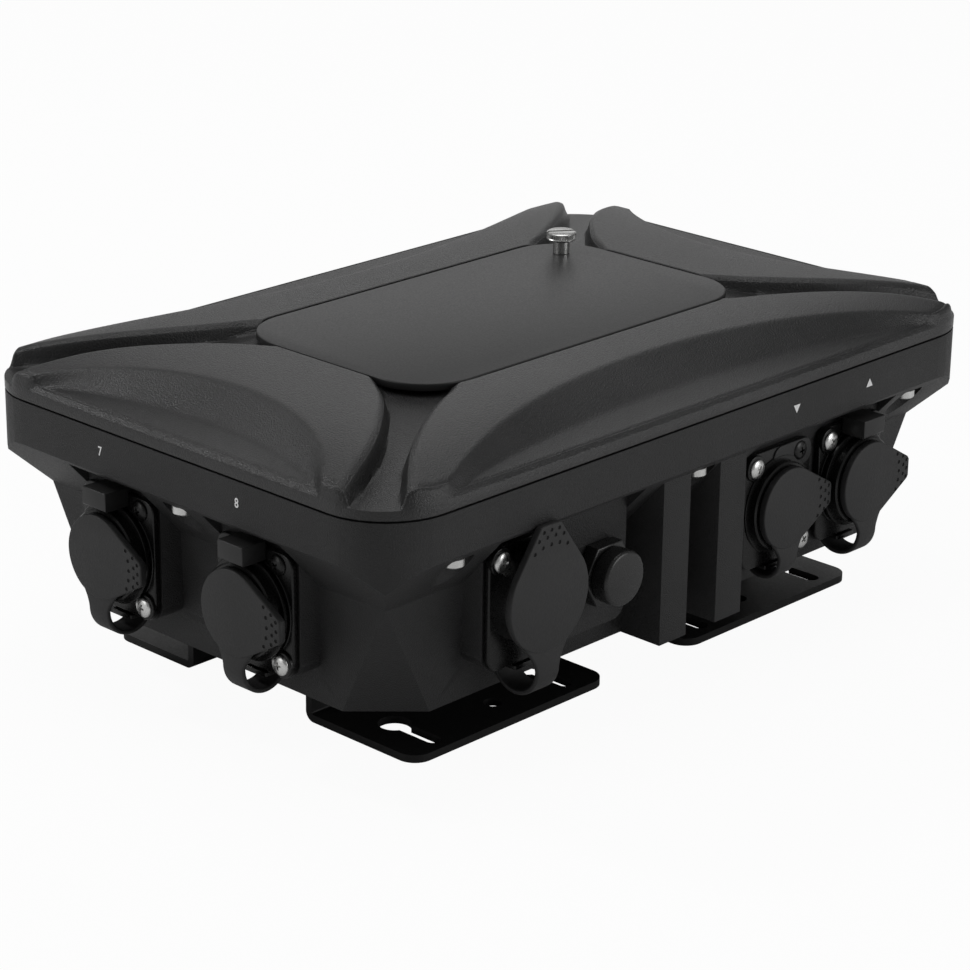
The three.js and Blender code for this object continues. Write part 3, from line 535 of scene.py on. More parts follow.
def node_solid(name: str, merge: float = 0.004) -> BMesh:
    """A merged copy of a node's solid, in millimetres, with its flat faces whole.

    Args:
        name: the node.
        merge: distance within which corners are one.

    Returns:
        The solid.
    """
    bm = bmesh.new()
    bm.from_mesh(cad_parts[name].data)
    bm.transform(Matrix.Scale(1 / MM, 4))
    bmesh.ops.remove_doubles(bm, verts=bm.verts, dist=merge)
    bmesh.ops.dissolve_limit(bm, angle_limit=math.radians(FLAT_ANGLE), verts=bm.verts, edges=bm.edges)
    return bm


def rounded_node(
    name: str, width: float, angle: float = 30.0, shortest: float = 1.0, segments: int = 2
) -> BMesh:
    """A node's solid with its edges rounded over.

    Args:
        name: the node.
        width: how far the rounding reaches.
        angle: least angle in degrees between the faces at a rounded edge.
        shortest: least length of a rounded edge.
        segments: faces across it.

    Returns:
        The solid.
    """
    bm = node_solid(name)
    limit = math.radians(angle)
    edges = [
        edge
        for edge in bm.edges
        if len(edge.link_faces) == 2
        and edge.calc_face_angle(0.0) > limit
        and edge.calc_length() > shortest
    ]
    soften(bm, edges, width, segments)
    return bm


def round_rectangle(
    length: float, width: float, radius: float, steps: int = 10, x: float = 0.0, y: float = 0.0
) -> list[Point]:
    """Outline of a rectangle with round corners.

    Args:
        length: size in X.
        width: size in Y.
        radius: of the corners.
        steps: points less one on each corner.
        x: its middle in X.
        y: its middle in Y.

    Returns:
        The outline, anticlockwise.
    """
    points = []
    for quarter, (side, end) in enumerate([(1, 1), (-1, 1), (-1, -1), (1, -1)]):
        centre_x = x + side * (length / 2 - radius)
        centre_y = y + end * (width / 2 - radius)
        for step in range(steps + 1):
            angle = math.radians(90.0 * (quarter + step / steps))
            points.append((centre_x + radius * math.cos(angle), centre_y + radius * math.sin(angle)))
    return points


def smooth_path(points: Sequence[Point], share: float) -> Point:
    """A place along a smooth curve through points.

    Args:
        points: what the curve passes through.
        share: how far along it, from 0 to 1.

    Returns:
        The place.
    """
    lengths = [math.dist(a, b) for a, b in zip(points, points[1:])]
    left = share * sum(lengths)
    index = 0
    while index < len(lengths) - 1 and left > lengths[index]:
        left -= lengths[index]
        index += 1
    t = min(max(left / lengths[index], 0.0), 1.0)
    b, c = points[index], points[index + 1]
    a = points[index - 1] if index > 0 else (2 * b[0] - c[0], 2 * b[1] - c[1])
    d = points[index + 2] if index + 2 < len(points) else (2 * c[0] - b[0], 2 * c[1] - b[1])
    return tuple(
        0.5 * (2 * b[k] + (c[k] - a[k]) * t + (2 * a[k] - 5 * b[k] + 4 * c[k] - d[k]) * t * t
               + (3 * b[k] - a[k] - 3 * c[k] + d[k]) * t * t * t)
        for k in (0, 1)
    )


def ease(value: float) -> float:
    """A smooth step from 0 to 1.

    Args:
        value: how far along the step.

    Returns:
        The height of the step there.
    """
    held = min(max(value, 0.0), 1.0)
    return held * held * (3 - 2 * held)


# What the scene is seen and lit with


@dataclass
class Viewpoint:
    """The camera at the photograph's angle, in millimetres and degrees."""

    place: tuple[float, float, float] = (-551.2, -520.6, 317.8)
    yaw: float = 43.54
    pitch: float = 20.50
    roll: float = 0.73
    focal: float = 3105.0
    picture: float = 970.0
    sensor: float = 36.0
    clip: tuple[float, float] = (0.01, 50.0)

    def build(self) -> None:
        """Makes the camera and looks through it."""
        yaw, pitch, roll = (math.radians(value) for value in (self.yaw, self.pitch, self.roll))
        ahead = Vector((math.cos(yaw) * math.cos(pitch), math.sin(yaw) * math.cos(pitch), -math.sin(pitch)))
        right = Vector((math.sin(yaw), -math.cos(yaw), 0.0))
        up = right.cross(ahead)
        side = right * math.cos(roll) + up * math.sin(roll)
        top = up * math.cos(roll) - right * math.sin(roll)
        data = bpy.data.cameras.new("camera")
        data.sensor_width = self.sensor
        data.lens = self.focal / self.picture * self.sensor
        data.clip_start, data.clip_end = self.clip
        camera = bpy.data.objects.new("camera", data)
        matrix = Matrix((side, top, -ahead)).transposed().to_4x4()
        camera.matrix_world = Matrix.Translation(Vector(self.place) * MM) @ matrix
        bpy.context.scene.collection.objects.link(camera)
        bpy.context.scene.camera = camera
        LOG.info("camera: lens %.1f mm", data.lens)


@dataclass(frozen=True)
class Lamp:
    """A soft square lamp that looks at the object.

    Attributes:
        name: of the lamp.
        place: where it stands, in metres.
        size: of its face, in metres.
        power: in watts.
        aim: what it looks at, in metres.
    """

    name: str
    place: tuple[float, float, float]
    size: float
    power: float
    aim: tuple[float, float, float] = (0.0, 0.0, 0.05)

    def build(self) -> None:
        """Hangs the lamp."""
        data = bpy.data.lights.new(self.name, "AREA")
        data.shape = "SQUARE"
        data.size = self.size
        data.energy = self.power
        lamp = bpy.data.objects.new(self.name, data)
        lamp.location = self.place
        look = Vector(self.aim) - Vector(self.place)
        lamp.rotation_euler = look.to_track_quat("-Z", "Y").to_euler()
        bpy.context.scene.collection.objects.link(lamp)


@dataclass
class Studio:
    """A pale floor, a white background and soft lamps."""

    floor_size: float = 3.0
    floor_grey: float = 0.9
    floor_white: float = 0.95
    world_level: float = 0.22
    lamps: tuple[Lamp, ...] = (
        Lamp("lamp_top", (0.1, 0.1, 1.2), 0.8, 3.8),
        Lamp("lamp_back", (1.05, 1.0, 0.6), 0.9, 1.35),
        Lamp("lamp_rim", (-0.45, 0.85, 0.9), 0.15, 3.4),
        Lamp("lamp_left", (-1.1, 0.45, 0.35), 0.6, 1.6),
        Lamp("lamp_front", (0.5, -1.1, 0.35), 0.6, 3.6),
    )

    def world(self) -> None:
        """White where it is seen, and a soft grey where it lights."""
        world = bpy.data.worlds.new("studio")
        bpy.context.scene.world = world
        world.use_nodes = True
        tree = world.node_tree
        background = tree.nodes["Background"]
        background.inputs["Color"].default_value = (1.0, 1.0, 1.0, 1.0)
        spread = tree.nodes.new("ShaderNodeMapRange")
        spread.inputs["To Min"].default_value = self.world_level
        spread.inputs["To Max"].default_value = 1.0
        path = tree.nodes.new("ShaderNodeLightPath")
        tree.links.new(path.outputs["Is Camera Ray"], spread.inputs["Value"])
        tree.links.new(spread.outputs["Result"], background.inputs["Strength"])

    def floor(self) -> None:
        """A plain pale floor that keeps the shadow."""
        bm = bmesh.new()
        bmesh.ops.create_grid(bm, x_segments=8, y_segments=8, size=self.floor_size)
        mesh = bpy.data.meshes.new("floor")
        bm.to_mesh(mesh)
        bm.free()
        floor = bpy.data.objects.new("floor", mesh)
        bpy.context.scene.collection.objects.link(floor)
        material = bpy.data.materials.new("pale_floor")
        material.use_nodes = True
        tree = material.node_tree
        tree.nodes.remove(tree.nodes["Principled BSDF"])
        matt = tree.nodes.new("ShaderNodeBsdfDiffuse")
        matt.inputs["Color"].default_value = (self.floor_grey, self.floor_grey, self.floor_grey, 1.0)
        glow = tree.nodes.new("ShaderNodeEmission")
        glow.inputs["Color"].default_value = (1.0, 1.0, 1.0, 1.0)
        mix = tree.nodes.new("ShaderNodeMixShader")
        share = tree.nodes.new("ShaderNodeMath")
        share.operation = "MULTIPLY"
        share.inputs[1].default_value = self.floor_white
        path = tree.nodes.new("ShaderNodeLightPath")
        tree.links.new(path.outputs["Is Camera Ray"], share.inputs[0])
        tree.links.new(share.outputs["Value"], mix.inputs["Fac"])
        tree.links.new(matt.outputs["BSDF"], mix.inputs[1])
        tree.links.new(glow.outputs["Emission"], mix.inputs[2])
        tree.links.new(mix.outputs["Shader"], tree.nodes["Material Output"].inputs["Surface"])
        mesh.materials.append(material)

    def build(self) -> None:
        """Makes the floor, the background and the lamps."""
        self.world()
        self.floor()
        for lamp in self.lamps:
            lamp.build()
        bpy.context.scene.view_settings.view_transform = "Standard"


# Sub-assemblies


@dataclass
class Housing:
    """The cast lower shell with its bosses and posts."""

    edge: float = 0.5

    def build(self) -> None:
        """Rounds the casting's edges over and coats it."""
        bm = rounded_node("base_housing", self.edge, angle=28.0, shortest=2.0)
        piece("housing_shell", bm, CAST, stands_for=["base_housing"], sharp=32.0)


@dataclass
class Lid:
    """The cast lid: four pads, four channels and four scalloped edges."""

    half_length: float = 111.0
    half_width: float = 72.5
    corner: float = 18.6
    low: float = 71.05
    rim: float = 75.25
    pad_edge: float = 2.3
    pad_inset: float = 0.7
    rise: float = 4.9
    crown: float = 2.8
    recess_x: float = 61.3
    recess_y: float = 35.15
    recess_corner: float = 16.5
    recess_z: float = 80.15
    roof_inside: float = 76.45
    wall: float = 11.0
    skin_z: float = 71.95
    opening_x: float = 36.0
    opening_y: float = 18.0
    long_half: float = 92.0
    long_depth: float = 23.6
    short_half: float = 52.0
    short_depth: float = 24.3
    scallop_flat: float = 0.5
    scallop_rise: float = 0.08
    scallop_fillet: float = 0.05
    least_reach: float = 0.3
    widest_share: float = 1.6
    no_limit: float = 20.0
    rim_edge: float = 1.2
    rim_edge_share: float = 0.026
    groove: float = 0.35
    groove_share: float = 0.037
    groove_half_share: float = 0.014
    channel_wall: float = 2.0
    channel_low: float = -1.1
    channel_high: float = 3.6
    channel_inset: float = 1.0
    crest: float = 0.9
    crest_reach: float = 2.4
    blend: float = 0.4
    lip: float = 0.3
    recess_edge: float = 0.15
    recess_insets: tuple[float, float, float, float] = (0.2, 0.25, 4.0, 5.5)
    roof_insets: tuple[float, float] = (1.0, 0.9)
    skin_fall: float = 0.1
    side_edge: tuple[Point, ...] = (
        (110.49, 58.24), (102.2, 54.1), (92.8, 49.1), (81.7, 41.1), (69.2, 29.3), (61.3, 18.1),
    )
    end_edge: tuple[Point, ...] = (
        (101.46, 70.14), (88.5, 57.8), (74.8, 47.7), (62.2, 40.2), (54.1, 36.4), (50.5, 34.13),
    )
    columns: tuple[int, int, int] = (58, 22, 92)
    near_ring_shares: tuple[float, ...] = (
        0.0, 0.003, 0.006, 0.009, 0.012, 0.0155, 0.019, 0.023, 0.028, 0.036, 0.046,
    )
    rings: int = 76

    def _outline(self, patch: int, share: float, outer: bool) -> Point:
        """A point of the rim or of the recess in one corner of the lid.

        Args:
            patch: 0 up to the first channel edge, 1 across the channel, 2 past it.
            share: how far across the patch.
            outer: the rim rather than the recess.

        Returns:
            The point.
        """
        if outer:
            size_x, size_y, radius = self.half_length, self.half_width, self.corner
            marks = (self.side_edge[0], self.end_edge[0])
        else:
            size_x, size_y, radius = self.recess_x, self.recess_y, self.recess_corner
            marks = (self.side_edge[-1], self.end_edge[-1])
        centre_x, centre_y = size_x - radius, size_y - radius
        arc = radius * math.pi / 2

        def length_to(mark: Point) -> float:
            """Length along the outline to a mark on it."""
            if mark[1] <= centre_y:
                return mark[1]
            return centre_y + radius * math.atan2(mark[1] - centre_y, mark[0] - centre_x)

        stops = (0.0, length_to(marks[0]), length_to(marks[1]), centre_y + arc + centre_x)
        along = stops[patch] + (stops[patch + 1] - stops[patch]) * share
        if along <= centre_y:
            return (size_x, along)
        if along <= centre_y + arc:
            angle = (along - centre_y) / radius
            return (centre_x + radius * math.cos(angle), centre_y + radius * math.sin(angle))
        return (centre_x - (along - centre_y - arc), size_y)

    def _patch_sides(self, patch: int, share: float) -> tuple[Point, Point]:
        """The two lines that bound a patch, at one share of the way in."""
        middle_x = (self.half_length + (self.recess_x - self.half_length) * share, 0.0)
        middle_y = (0.0, self.half_width + (self.recess_y - self.half_width) * share)
        side = smooth_path(self.side_edge, share)
        end = smooth_path(self.end_edge, share)
        return [(middle_x, side), (side, end), (end, middle_y)][patch]

    def _plan(self, patch: int, across: float, inward: float) -> Point:
        """Where a point of a patch is, from its four bounding lines.

        Args:
            patch: which patch.
            across: share of the way round.
            inward: share of the way from rim to recess.

        Returns:
            The point.
        """
        rim, recess = self._outline(patch, across, True), self._outline(patch, across, False)
        first, last = self._patch_sides(patch, inward)
        corners = [
            self._outline(patch, 0.0, True), self._outline(patch, 1.0, True),
            self._outline(patch, 0.0, False), self._outline(patch, 1.0, False),
        ]
        point = []
        for k in (0, 1):
            ruled = (1 - inward) * rim[k] + inward * recess[k] + (1 - across) * first[k] + across * last[k]
            shared = (
                (1 - inward) * ((1 - across) * corners[0][k] + across * corners[1][k])
                + inward * ((1 - across) * corners[2][k] + across * corners[3][k])
            )
            point.append(ruled - shared)
        return (point[0], point[1])

    def _roof(self, x: float, y: float) -> float:
        """Height of the pads, which are crowned along and across."""
        end_x, end_y = self.half_length - self.pad_inset, self.half_width - self.pad_inset
        share_x = (end_x - x) / (end_x - self.recess_x)
        share_y = (end_y - y) / (end_y - self.recess_y)
        share = max(min(share_x, share_y, 1.0), 0.0)
        return self.rim + self.pad_edge + self.rise * (1 - (1 - share) ** self.crown)

    def _least(self, first: float, second: float) -> float:
        """The lower of two heights, rounded where they meet."""
        near = max(self.blend - abs(first - second), 0.0) / self.blend
        return min(first, second) - near * near * self.blend / 4

    def _scallop(
        self, along: float, depth: float, half: float, deep: float, roof: Callable[[float], float]
    ) -> float:
        """Height that one wall's scallop leaves.

        Args:
            along: distance from the wall's middle.
            depth: distance behind the wall face.
            half: half the scallop's chord.
            deep: its depth at the middle.
            roof: gives the pad's height at a depth.

        Returns:
            The height, above every pad where the scallop doesn't reach.
        """
        if along >= half:
            return self.rim + self.no_limit
        radius = (half * half + deep * deep) / (2 * deep)
        reach = max(math.sqrt(radius * radius - along * along) - (radius - deep), self.least_reach)
        share = depth / reach
        if share > self.widest_share:
            return self.rim + self.no_limit
        return self.rim + (roof(reach) - self.rim) * self._scallop_profile(share)

    def _scallop_profile(self, share: float) -> float:
        """Share of a scallop's rise at a share of the way in: nearly flat, then a straight slope."""
        past = share - self.scallop_flat
        if abs(past) < self.scallop_fillet:
            past = (past + self.scallop_fillet) ** 2 / (4 * self.scallop_fillet)
        flat = self.scallop_rise * min(share / self.scallop_flat, 1.0)
        return flat + max(past, 0.0) * (1 - self.scallop_rise) / (1 - self.scallop_flat)

    def _pad(self, x: float, y: float) -> float:
        """Height of the pads with their edge and scallops, without the channels."""
        over_x, over_y = x - (self.half_length - self.corner), y - (self.half_width - self.corner)
        if over_x > 0 and over_y > 0:
            inset = self.corner - math.hypot(over_x, over_y)
        else:
            inset = min(self.half_length - x, self.half_width - y)
        edge = self.rim + self.pad_edge * max(inset, 0.0) / self.pad_inset
        height = self._least(self._roof(x, y), edge)
        long = self._scallop(
            x, self.half_width - y, self.long_half, self.long_depth,
            lambda depth: self._roof(x, self.half_width - depth),
        )
        short = self._scallop(
            y, self.half_length - x, self.short_half, self.short_depth,
            lambda depth: self._roof(self.half_length - depth, y),
        )
        return self._least(self._least(height, long), short)

    def _channel(self, x: float, y: float) -> float:
        """Height of a channel's sloping floor."""
        start = (self.half_length - self.corner / 2, self.half_width - self.corner / 2)
        end = (self.recess_x - self.channel_inset, self.recess_y - self.channel_inset)
        run = (start[0] - end[0], start[1] - end[1])
        along = ((start[0] - x) * run[0] + (start[1] - y) * run[1]) / (run[0] ** 2 + run[1] ** 2)
        return self.rim + self.channel_low + (self.channel_high - self.channel_low) * along

    def _height(self, patch: int, across: float, inward: float, x: float, y: float) -> float:
        """Height of the lid's top at a point of a patch, with the lip along its rim."""
        groove = max(1 - ((inward - self.groove_share) / self.groove_half_share) ** 2, 0.0) ** 2
        edge = max(1 - inward / self.rim_edge_share, 0.0)
        height = self._pad(x, y) - self.rim_edge * edge - self.groove * groove
        first, last = self._patch_sides(patch, inward)
        width = math.dist(first, last)
        if patch == 1:
            far = min(across, 1 - across) * width
            bank = height - self.crest
            return bank + (self._channel(x, y) - bank) * ease(far / self.channel_wall)
        far = (1 - across if patch == 0 else across) * width
        fall = max(1 - far / self.crest_reach, 0.0)
        return height - self.crest * fall * fall

    def _rings(self) -> list[float]:
        """Shares of the way from rim to recess at which the top has a ring."""
        near, steps = list(self.near_ring_shares), self.rings
        return near + [near[-1] + (1 - near[-1]) * (step + 1) / steps for step in range(steps)]

    def _quarter(self) -> list[tuple[int, float]]:
        """Patch and share of each column in one quarter."""
        columns: list[tuple[int, float]] = []
        first, middle, last = self.columns
        columns += [(0, math.sin(math.pi / 2 * step / first)) for step in range(first)]
        columns += [(1, (1 - math.cos(math.pi * step / middle)) / 2) for step in range(middle)]
        columns += [(2, 1 - math.cos(math.pi / 2 * step / last)) for step in range(last + 1)]
        return columns

    def _column(self, patch: int, across: float) -> list[tuple[float, float, float]]:
        """Every ring's point in one column of the quarter, from the lower rim round to it again."""
        rim = self._outline(patch, across, True)
        recess = self._outline(patch, across, False)

        def inward(point: Point, size_x: float, size_y: float, radius: float, by: float) -> Point:
            """A point of an outline moved square to it."""
            over_x, over_y = point[0] - (size_x - radius), point[1] - (size_y - radius)
            if over_x > 0 and over_y > 0:
                away = math.hypot(over_x, over_y)
                return (point[0] - over_x / away * by, point[1] - over_y / away * by)
            if over_y > 0:
                return (point[0], point[1] - by)
            return (point[0] - by, point[1])

        def at_rim(by: float) -> Point:
            """The rim's point moved in."""
            return inward(rim, self.half_length, self.half_width, self.corner, by)

        def at_recess(by: float) -> Point:
            """The recess's point moved in."""
            return inward(recess, self.recess_x, self.recess_y, self.recess_corner, by)

        points = [(*at_rim(self.lip), self.low), (*rim, self.low + self.lip)]
        for share in self._rings():
            x, y = self._plan(patch, across, share)
            points.append((x, y, self._height(patch, across, share, x, y)))
        edge_z = points[-1][2]
        floor_z = min(self.recess_z, edge_z)
        heights = (max(edge_z - self.recess_edge, floor_z), floor_z, floor_z, self.recess_z)
        points += [(*at_recess(inset), height) for inset, height in zip(self.recess_insets, heights)]
        shrink = min(self.opening_x / max(recess[0], TINY), self.opening_y / max(recess[1], TINY))
        opening = (recess[0] * shrink, recess[1] * shrink)
        roof_inset, skin_inset = self.roof_insets
        points += [
            (*opening, self.recess_z),
            (*opening, self.roof_inside),
            (*at_recess(roof_inset), self.roof_inside),
            (*at_recess(skin_inset), self.skin_z),
            (*at_rim(self.wall), self.skin_z - self.skin_fall),
            (*at_rim(self.wall), self.low),
            points[0],
        ]
        return points

    def build(self) -> None:
        """Makes the lid as one closed sheet round its opening."""
        quarter = self._quarter()
        columns = [self._column(patch, across) for patch, across in quarter]
        count = len(quarter) - 1
        signs = [(1, 1), (-1, 1), (-1, -1), (1, -1)]

        def place(column: int, row: int) -> tuple[float, float, float]:
            """Corner of the sheet, mirrored from the first quarter."""
            turn, step = divmod(column % (count * 4), count)
            x, y, z = columns[step if turn % 2 == 0 else count - step][row]
            return (x * signs[turn][0], y * signs[turn][1], z)

        bm = loft(count * 4, len(columns[0]) - 1, place)
        piece("lid_casting", bm, LID_CAST, stands_for=["lid"], sharp=42.0)


@dataclass
class Cover:
    """The flush cover plate and its captive thumb screw."""

    length: float = 120.6
    width: float = 68.3
    corner: float = 15.5
    low: float = 80.45
    high: float = 82.45
    edge: float = 0.35
    screw: tuple[float, float] = (49.7, 23.1)
    screw_turn: float = -35.0
    head_radius: float = 4.0
    head_high: float = 88.55
    head_depth: float = 2.4
    collar_radius: float = 2.25
    collar_end: float = 6.0
    shank_radius: float = 1.8
    shank_end: float = 9.0
    shank_edge: float = 0.3
    teeth: int = 44
    tooth_swell: float = 1.04
    knurl: tuple[float, float] = (0.7, 1.8)
    slot_width: float = 1.1
    slot_depth: float = 1.2

    def plate(self) -> None:
        """The bent-edged plate, a rounded slab."""
        outline = round_rectangle(self.length, self.width, self.corner, 16)
        bm = slab(outline, self.low, self.high, self.edge)
        piece("cover_sheet", bm, COVER, body="cover", stands_for=["cover_plate"])

    def thumb(self) -> None:
        """A knurled, slotted head on a smooth shank."""
        head, shank, end = self.head_radius, self.shank_radius, self.shank_end
        profile = [
            (0.0, 0.0), (head - 0.5, 0.0), (head, 0.35), (head, 0.6), (head - 0.2, 0.75),
            (head - 0.2, 1.7), (head, 1.85), (head, 2.1), (head - 0.3, self.head_depth),
            (self.collar_radius, self.head_depth), (self.collar_radius, self.collar_end),
            (shank, self.collar_end), (shank, end - self.shank_edge), (shank - self.shank_edge, end),
            (0.0, end),
        ]
        bm = spun(profile, self.teeth * 2)
        for vert in bm.verts:
            reach = math.hypot(vert.co.x, vert.co.z)
            tooth = round(math.atan2(vert.co.z, vert.co.x) / math.tau * self.teeth * 2) % 2
            if self.knurl[0] < vert.co.y < self.knurl[1] and reach > head - 0.3 and tooth:
                vert.co.x *= self.tooth_swell
                vert.co.z *= self.tooth_swell
        bm = carved(bm, block(head * 3, self.slot_depth * 2, self.slot_width))
        place = Matrix.Translation((*self.screw, self.head_high))
        place = place @ Matrix.Rotation(math.radians(self.screw_turn), 4, "Z")
        place = place @ Matrix.Rotation(math.radians(-90.0), 4, "X")
        piece("thumb_head", bm, STEEL, body="thumb", stands_for=["thumb_screw"], place=place)

    def build(self) -> None:
        """Makes the plate and the screw."""
        self.plate()
        self.thumb()


@dataclass
class CrossScrew:
    """A domed screw head with a cross recess, seen from outside."""

    radius: float = 2.6
    dome: float = 0.9
    seat: float = 0.35
    arm: float = 1.55
    arm_width: float = 0.62
    arm_taper: tuple[float, float] = (0.35, 0.7)
    recess: float = 0.9
    rear: float = 0.6
    dome_steps: int = 8
    round_steps: int = 40

    def solid(self) -> BMesh:
        """The head, whose outer face looks along the wall's outward axis.

        Returns:
            The solid, seated at depth 0.
        """
        profile = [(0.0, -self.dome - self.seat)]
        for step in range(1, self.dome_steps + 1):
            angle = math.pi / 2 * step / self.dome_steps
            profile.append((self.radius * math.sin(angle), -self.seat - self.dome * math.cos(angle)))
        profile += [(self.radius, self.rear), (0.0, self.rear)]
        bm = spun(profile, self.round_steps)
        arms = bmesh.new()
        for turn in (0.0, 90.0):
            arm = block(self.arm * 2, self.recess * 2, self.arm_width)
            for vert in arm.verts:
                if vert.co.y > 0:
                    vert.co.x *= self.arm_taper[0]
                    vert.co.z *= self.arm_taper[1]
            top = Matrix.Translation((0.0, -self.dome - self.seat, 0.0))
            moved(arm, top @ Matrix.Rotation(math.radians(turn), 4, "Y"))
            arms = joined(arms, arm)
        return carved(bm, arms)


# Where the connectors stand along their walls
OUTPUTS = (
    (Wall.RIGHT, -24.25), (Wall.RIGHT, 24.25), (Wall.REAR, -62.7), (Wall.REAR, -32.9),
    (Wall.REAR, 32.9), (Wall.REAR, 62.7), (Wall.LEFT, -24.25), (Wall.LEFT, 24.25),
)
THROUGH_X = 62.7
INPUT_X = 32.9
INLET_X = -59.5
FRONT_SCREWS = ((9.7, -11.8), (-9.7, 12.0))


@dataclass
class Connector:
    """One panel connector: its flange, collar, screws, cap and strap."""

    name: str
    wall: Wall
    x: float
    node: str
    cap_node: str
    centre: float = 38.8
    flange_z: float = 38.8
    flange_width: float = 26.0
    flange_height: float = 31.0
    flange_corner: float = 3.4
    flange_depth: tuple[float, float] = (5.0, 6.7)
    flange_edge: float = 0.45
    boss_radius: float = 3.4
    boss_depth: tuple[float, float] = (4.2, 6.0)
    boss_edge: float = 0.3
    barrel: float = 11.8
    barrel_gap: float = 0.2
    collar: float = 11.6
    collar_edge: float = 0.4
    collar_front: float = 0.0
    ridges: tuple[float, ...] = (5.3, 3.5)
    ridge: float = 12.9
    ridge_height: float = 0.8
    ridge_edge: float = 0.15
    bore: float = 9.65
    bore_edge: float = 0.3
    bore_depth: float = 17.0
    insert: float = 7.7
    insert_depth: float = 9.0
    back: float = 26.0
    contact_turns: tuple[float, ...] = (-30.0, 30.0, 90.0, 150.0, 210.0)
    contact_circle: float = 4.6
    contact: float = 0.95
    contact_depth: tuple[float, float] = (8.0, 13.0)
    pin: float = 0.8
    pin_tip: float = 10.6
    pin_edge: float = 0.4
    pin_root: float = 0.2
    contact_steps: int = 16
    cap_radius: float = 10.7
    cap_tip: float = 16.4
    cap_tip_width: float = 6.4
    cap_tip_cut: tuple[float, float] = (0.55, 0.9)
    cap_tip_draw: float = 0.1
    cap_turn: float = 0.0
    cap_steps: int = 72
    cap_front: float = -2.2
    cap_thickness: float = 1.9
    cap_edge: float = 0.35
    plug_gap: float = 0.7
    plug_depth: float = 3.0
    plug_wall: float = 1.9
    plug_lip: float = 0.25
    plug_overlap: float = 0.3
    strap_width: float = 7.0
    strap_thickness: float = 1.2
    strap_back: float = 13.0
    strap_drop: float = 13.5
    strap_edge: float = 0.45
    strap_steps: tuple[int, int] = (10, 24)
    root_gap: float = 0.6
    root_over: float = 0.4
    root_corner: float = 0.5
    root_edge: float = 0.25
    blend_gap: float = 0.1
    neck: float = 0.8
    neck_start: float = 1.2
    neck_lift: float = 0.3
    neck_power: float = 1.5
    dents: tuple[Point, ...] = (
        (11.0, 4.9), (11.8, 2.5), (12.0, 0.0), (11.8, -2.5), (11.0, -4.9),
        (13.5, 3.7), (13.8, 1.25), (13.8, -1.25), (13.5, -3.7), (15.1, 2.3), (15.2, 0.0), (15.1, -2.3),
    )
    dents_tip: float = 16.4
    dent: float = 0.52
    bright_screws: tuple[Point, ...] = ((9.7, -11.8),)
    bright_seat: float = 4.3
    # Painted shade: the upper screw is a plated flange screw like the lower one, but it gets the black
    # plastic finish because it lies in shadow.
    dark_screws: tuple[Point, ...] = ((8.2, 12.4),)
    dark_seat: float = 5.1
    input_plate: tuple[float, float, float] = (15.0, 7.0, 3.0)
    input_plate_place: Point = (5.3, 11.9)
    input_plate_depth: tuple[float, float] = (4.6, 5.2)
    input_plate_edge: float = 0.25
    screw_turns: tuple[float, float, float] = (35.0, 60.0, 7.0)
    pins: bool = False

    def _flange(self) -> BMesh:
        """The plate with a round boss under each of its bright screws."""
        size = (self.flange_width, self.flange_height, self.flange_corner)
        front, back = self.flange_depth
        solids = [slab(round_rectangle(*size, 6, 0.0, self.flange_z), -back, -front, self.flange_edge)]
        front, back = self.boss_depth
        for x, up in self.bright_screws:
            size = (self.boss_radius * 2, self.boss_radius * 2, self.boss_radius)
            boss = round_rectangle(*size, 8, x, self.flange_z + up)
            solids.append(slab(boss, -back, -front, self.boss_edge))
        return moved(joined(*solids), UPRIGHT)

    def _barrel(self) -> BMesh:
        """The collar, the bore and the insert with its contacts."""
        front, rear, deep = self.collar_front, self.flange_depth[1], self.bore_depth
        profile = [(0.0, self.back), (self.barrel, self.back), (self.barrel, rear + self.barrel_gap)]
        profile.append((self.collar, rear))
        for ridge in self.ridges:
            low, edge = ridge - self.ridge_height, self.ridge_edge
            profile += [
                (self.collar, ridge), (self.ridge - edge, ridge), (self.ridge, ridge - edge),
                (self.ridge, low + edge), (self.ridge - edge, low), (self.collar, low),
            ]
        edge = self.bore_edge
        profile += [
            (self.collar, front + self.collar_edge), (self.collar - self.collar_edge, front),
            (self.bore + edge, front), (self.bore, front + edge), (self.bore, deep), (self.insert, deep),
        ]
        if self.pins:
            profile.append((0.0, deep))
        else:
            profile += [
                (self.insert, self.insert_depth + edge), (self.insert - edge, self.insert_depth),
                (0.0, self.insert_depth),
            ]
        bm = spun(profile)
        first, last = self.contact_depth
        hole = [(0.0, last), (self.contact, last), (self.contact, first), (0.0, first)]
        pin = [
            (0.0, deep + self.pin_root), (self.pin, deep + self.pin_root),
            (self.pin, self.pin_tip + self.pin_edge), (self.pin - self.pin_edge, self.pin_tip),
            (0.0, self.pin_tip),
        ]
        contacts = []
        for turn in self.contact_turns:
            angle = math.radians(turn)
            x, z = self.contact_circle * math.cos(angle), self.contact_circle * math.sin(angle)
            contact = spun(pin if self.pins else hole, self.contact_steps)
            contacts.append(moved(contact, Matrix.Translation((x, 0.0, z))))
        group = joined(*contacts)
        bm = joined(bm, group) if self.pins else carved(bm, group)
        return moved(bm, Matrix.Translation((0.0, 0.0, self.centre)))

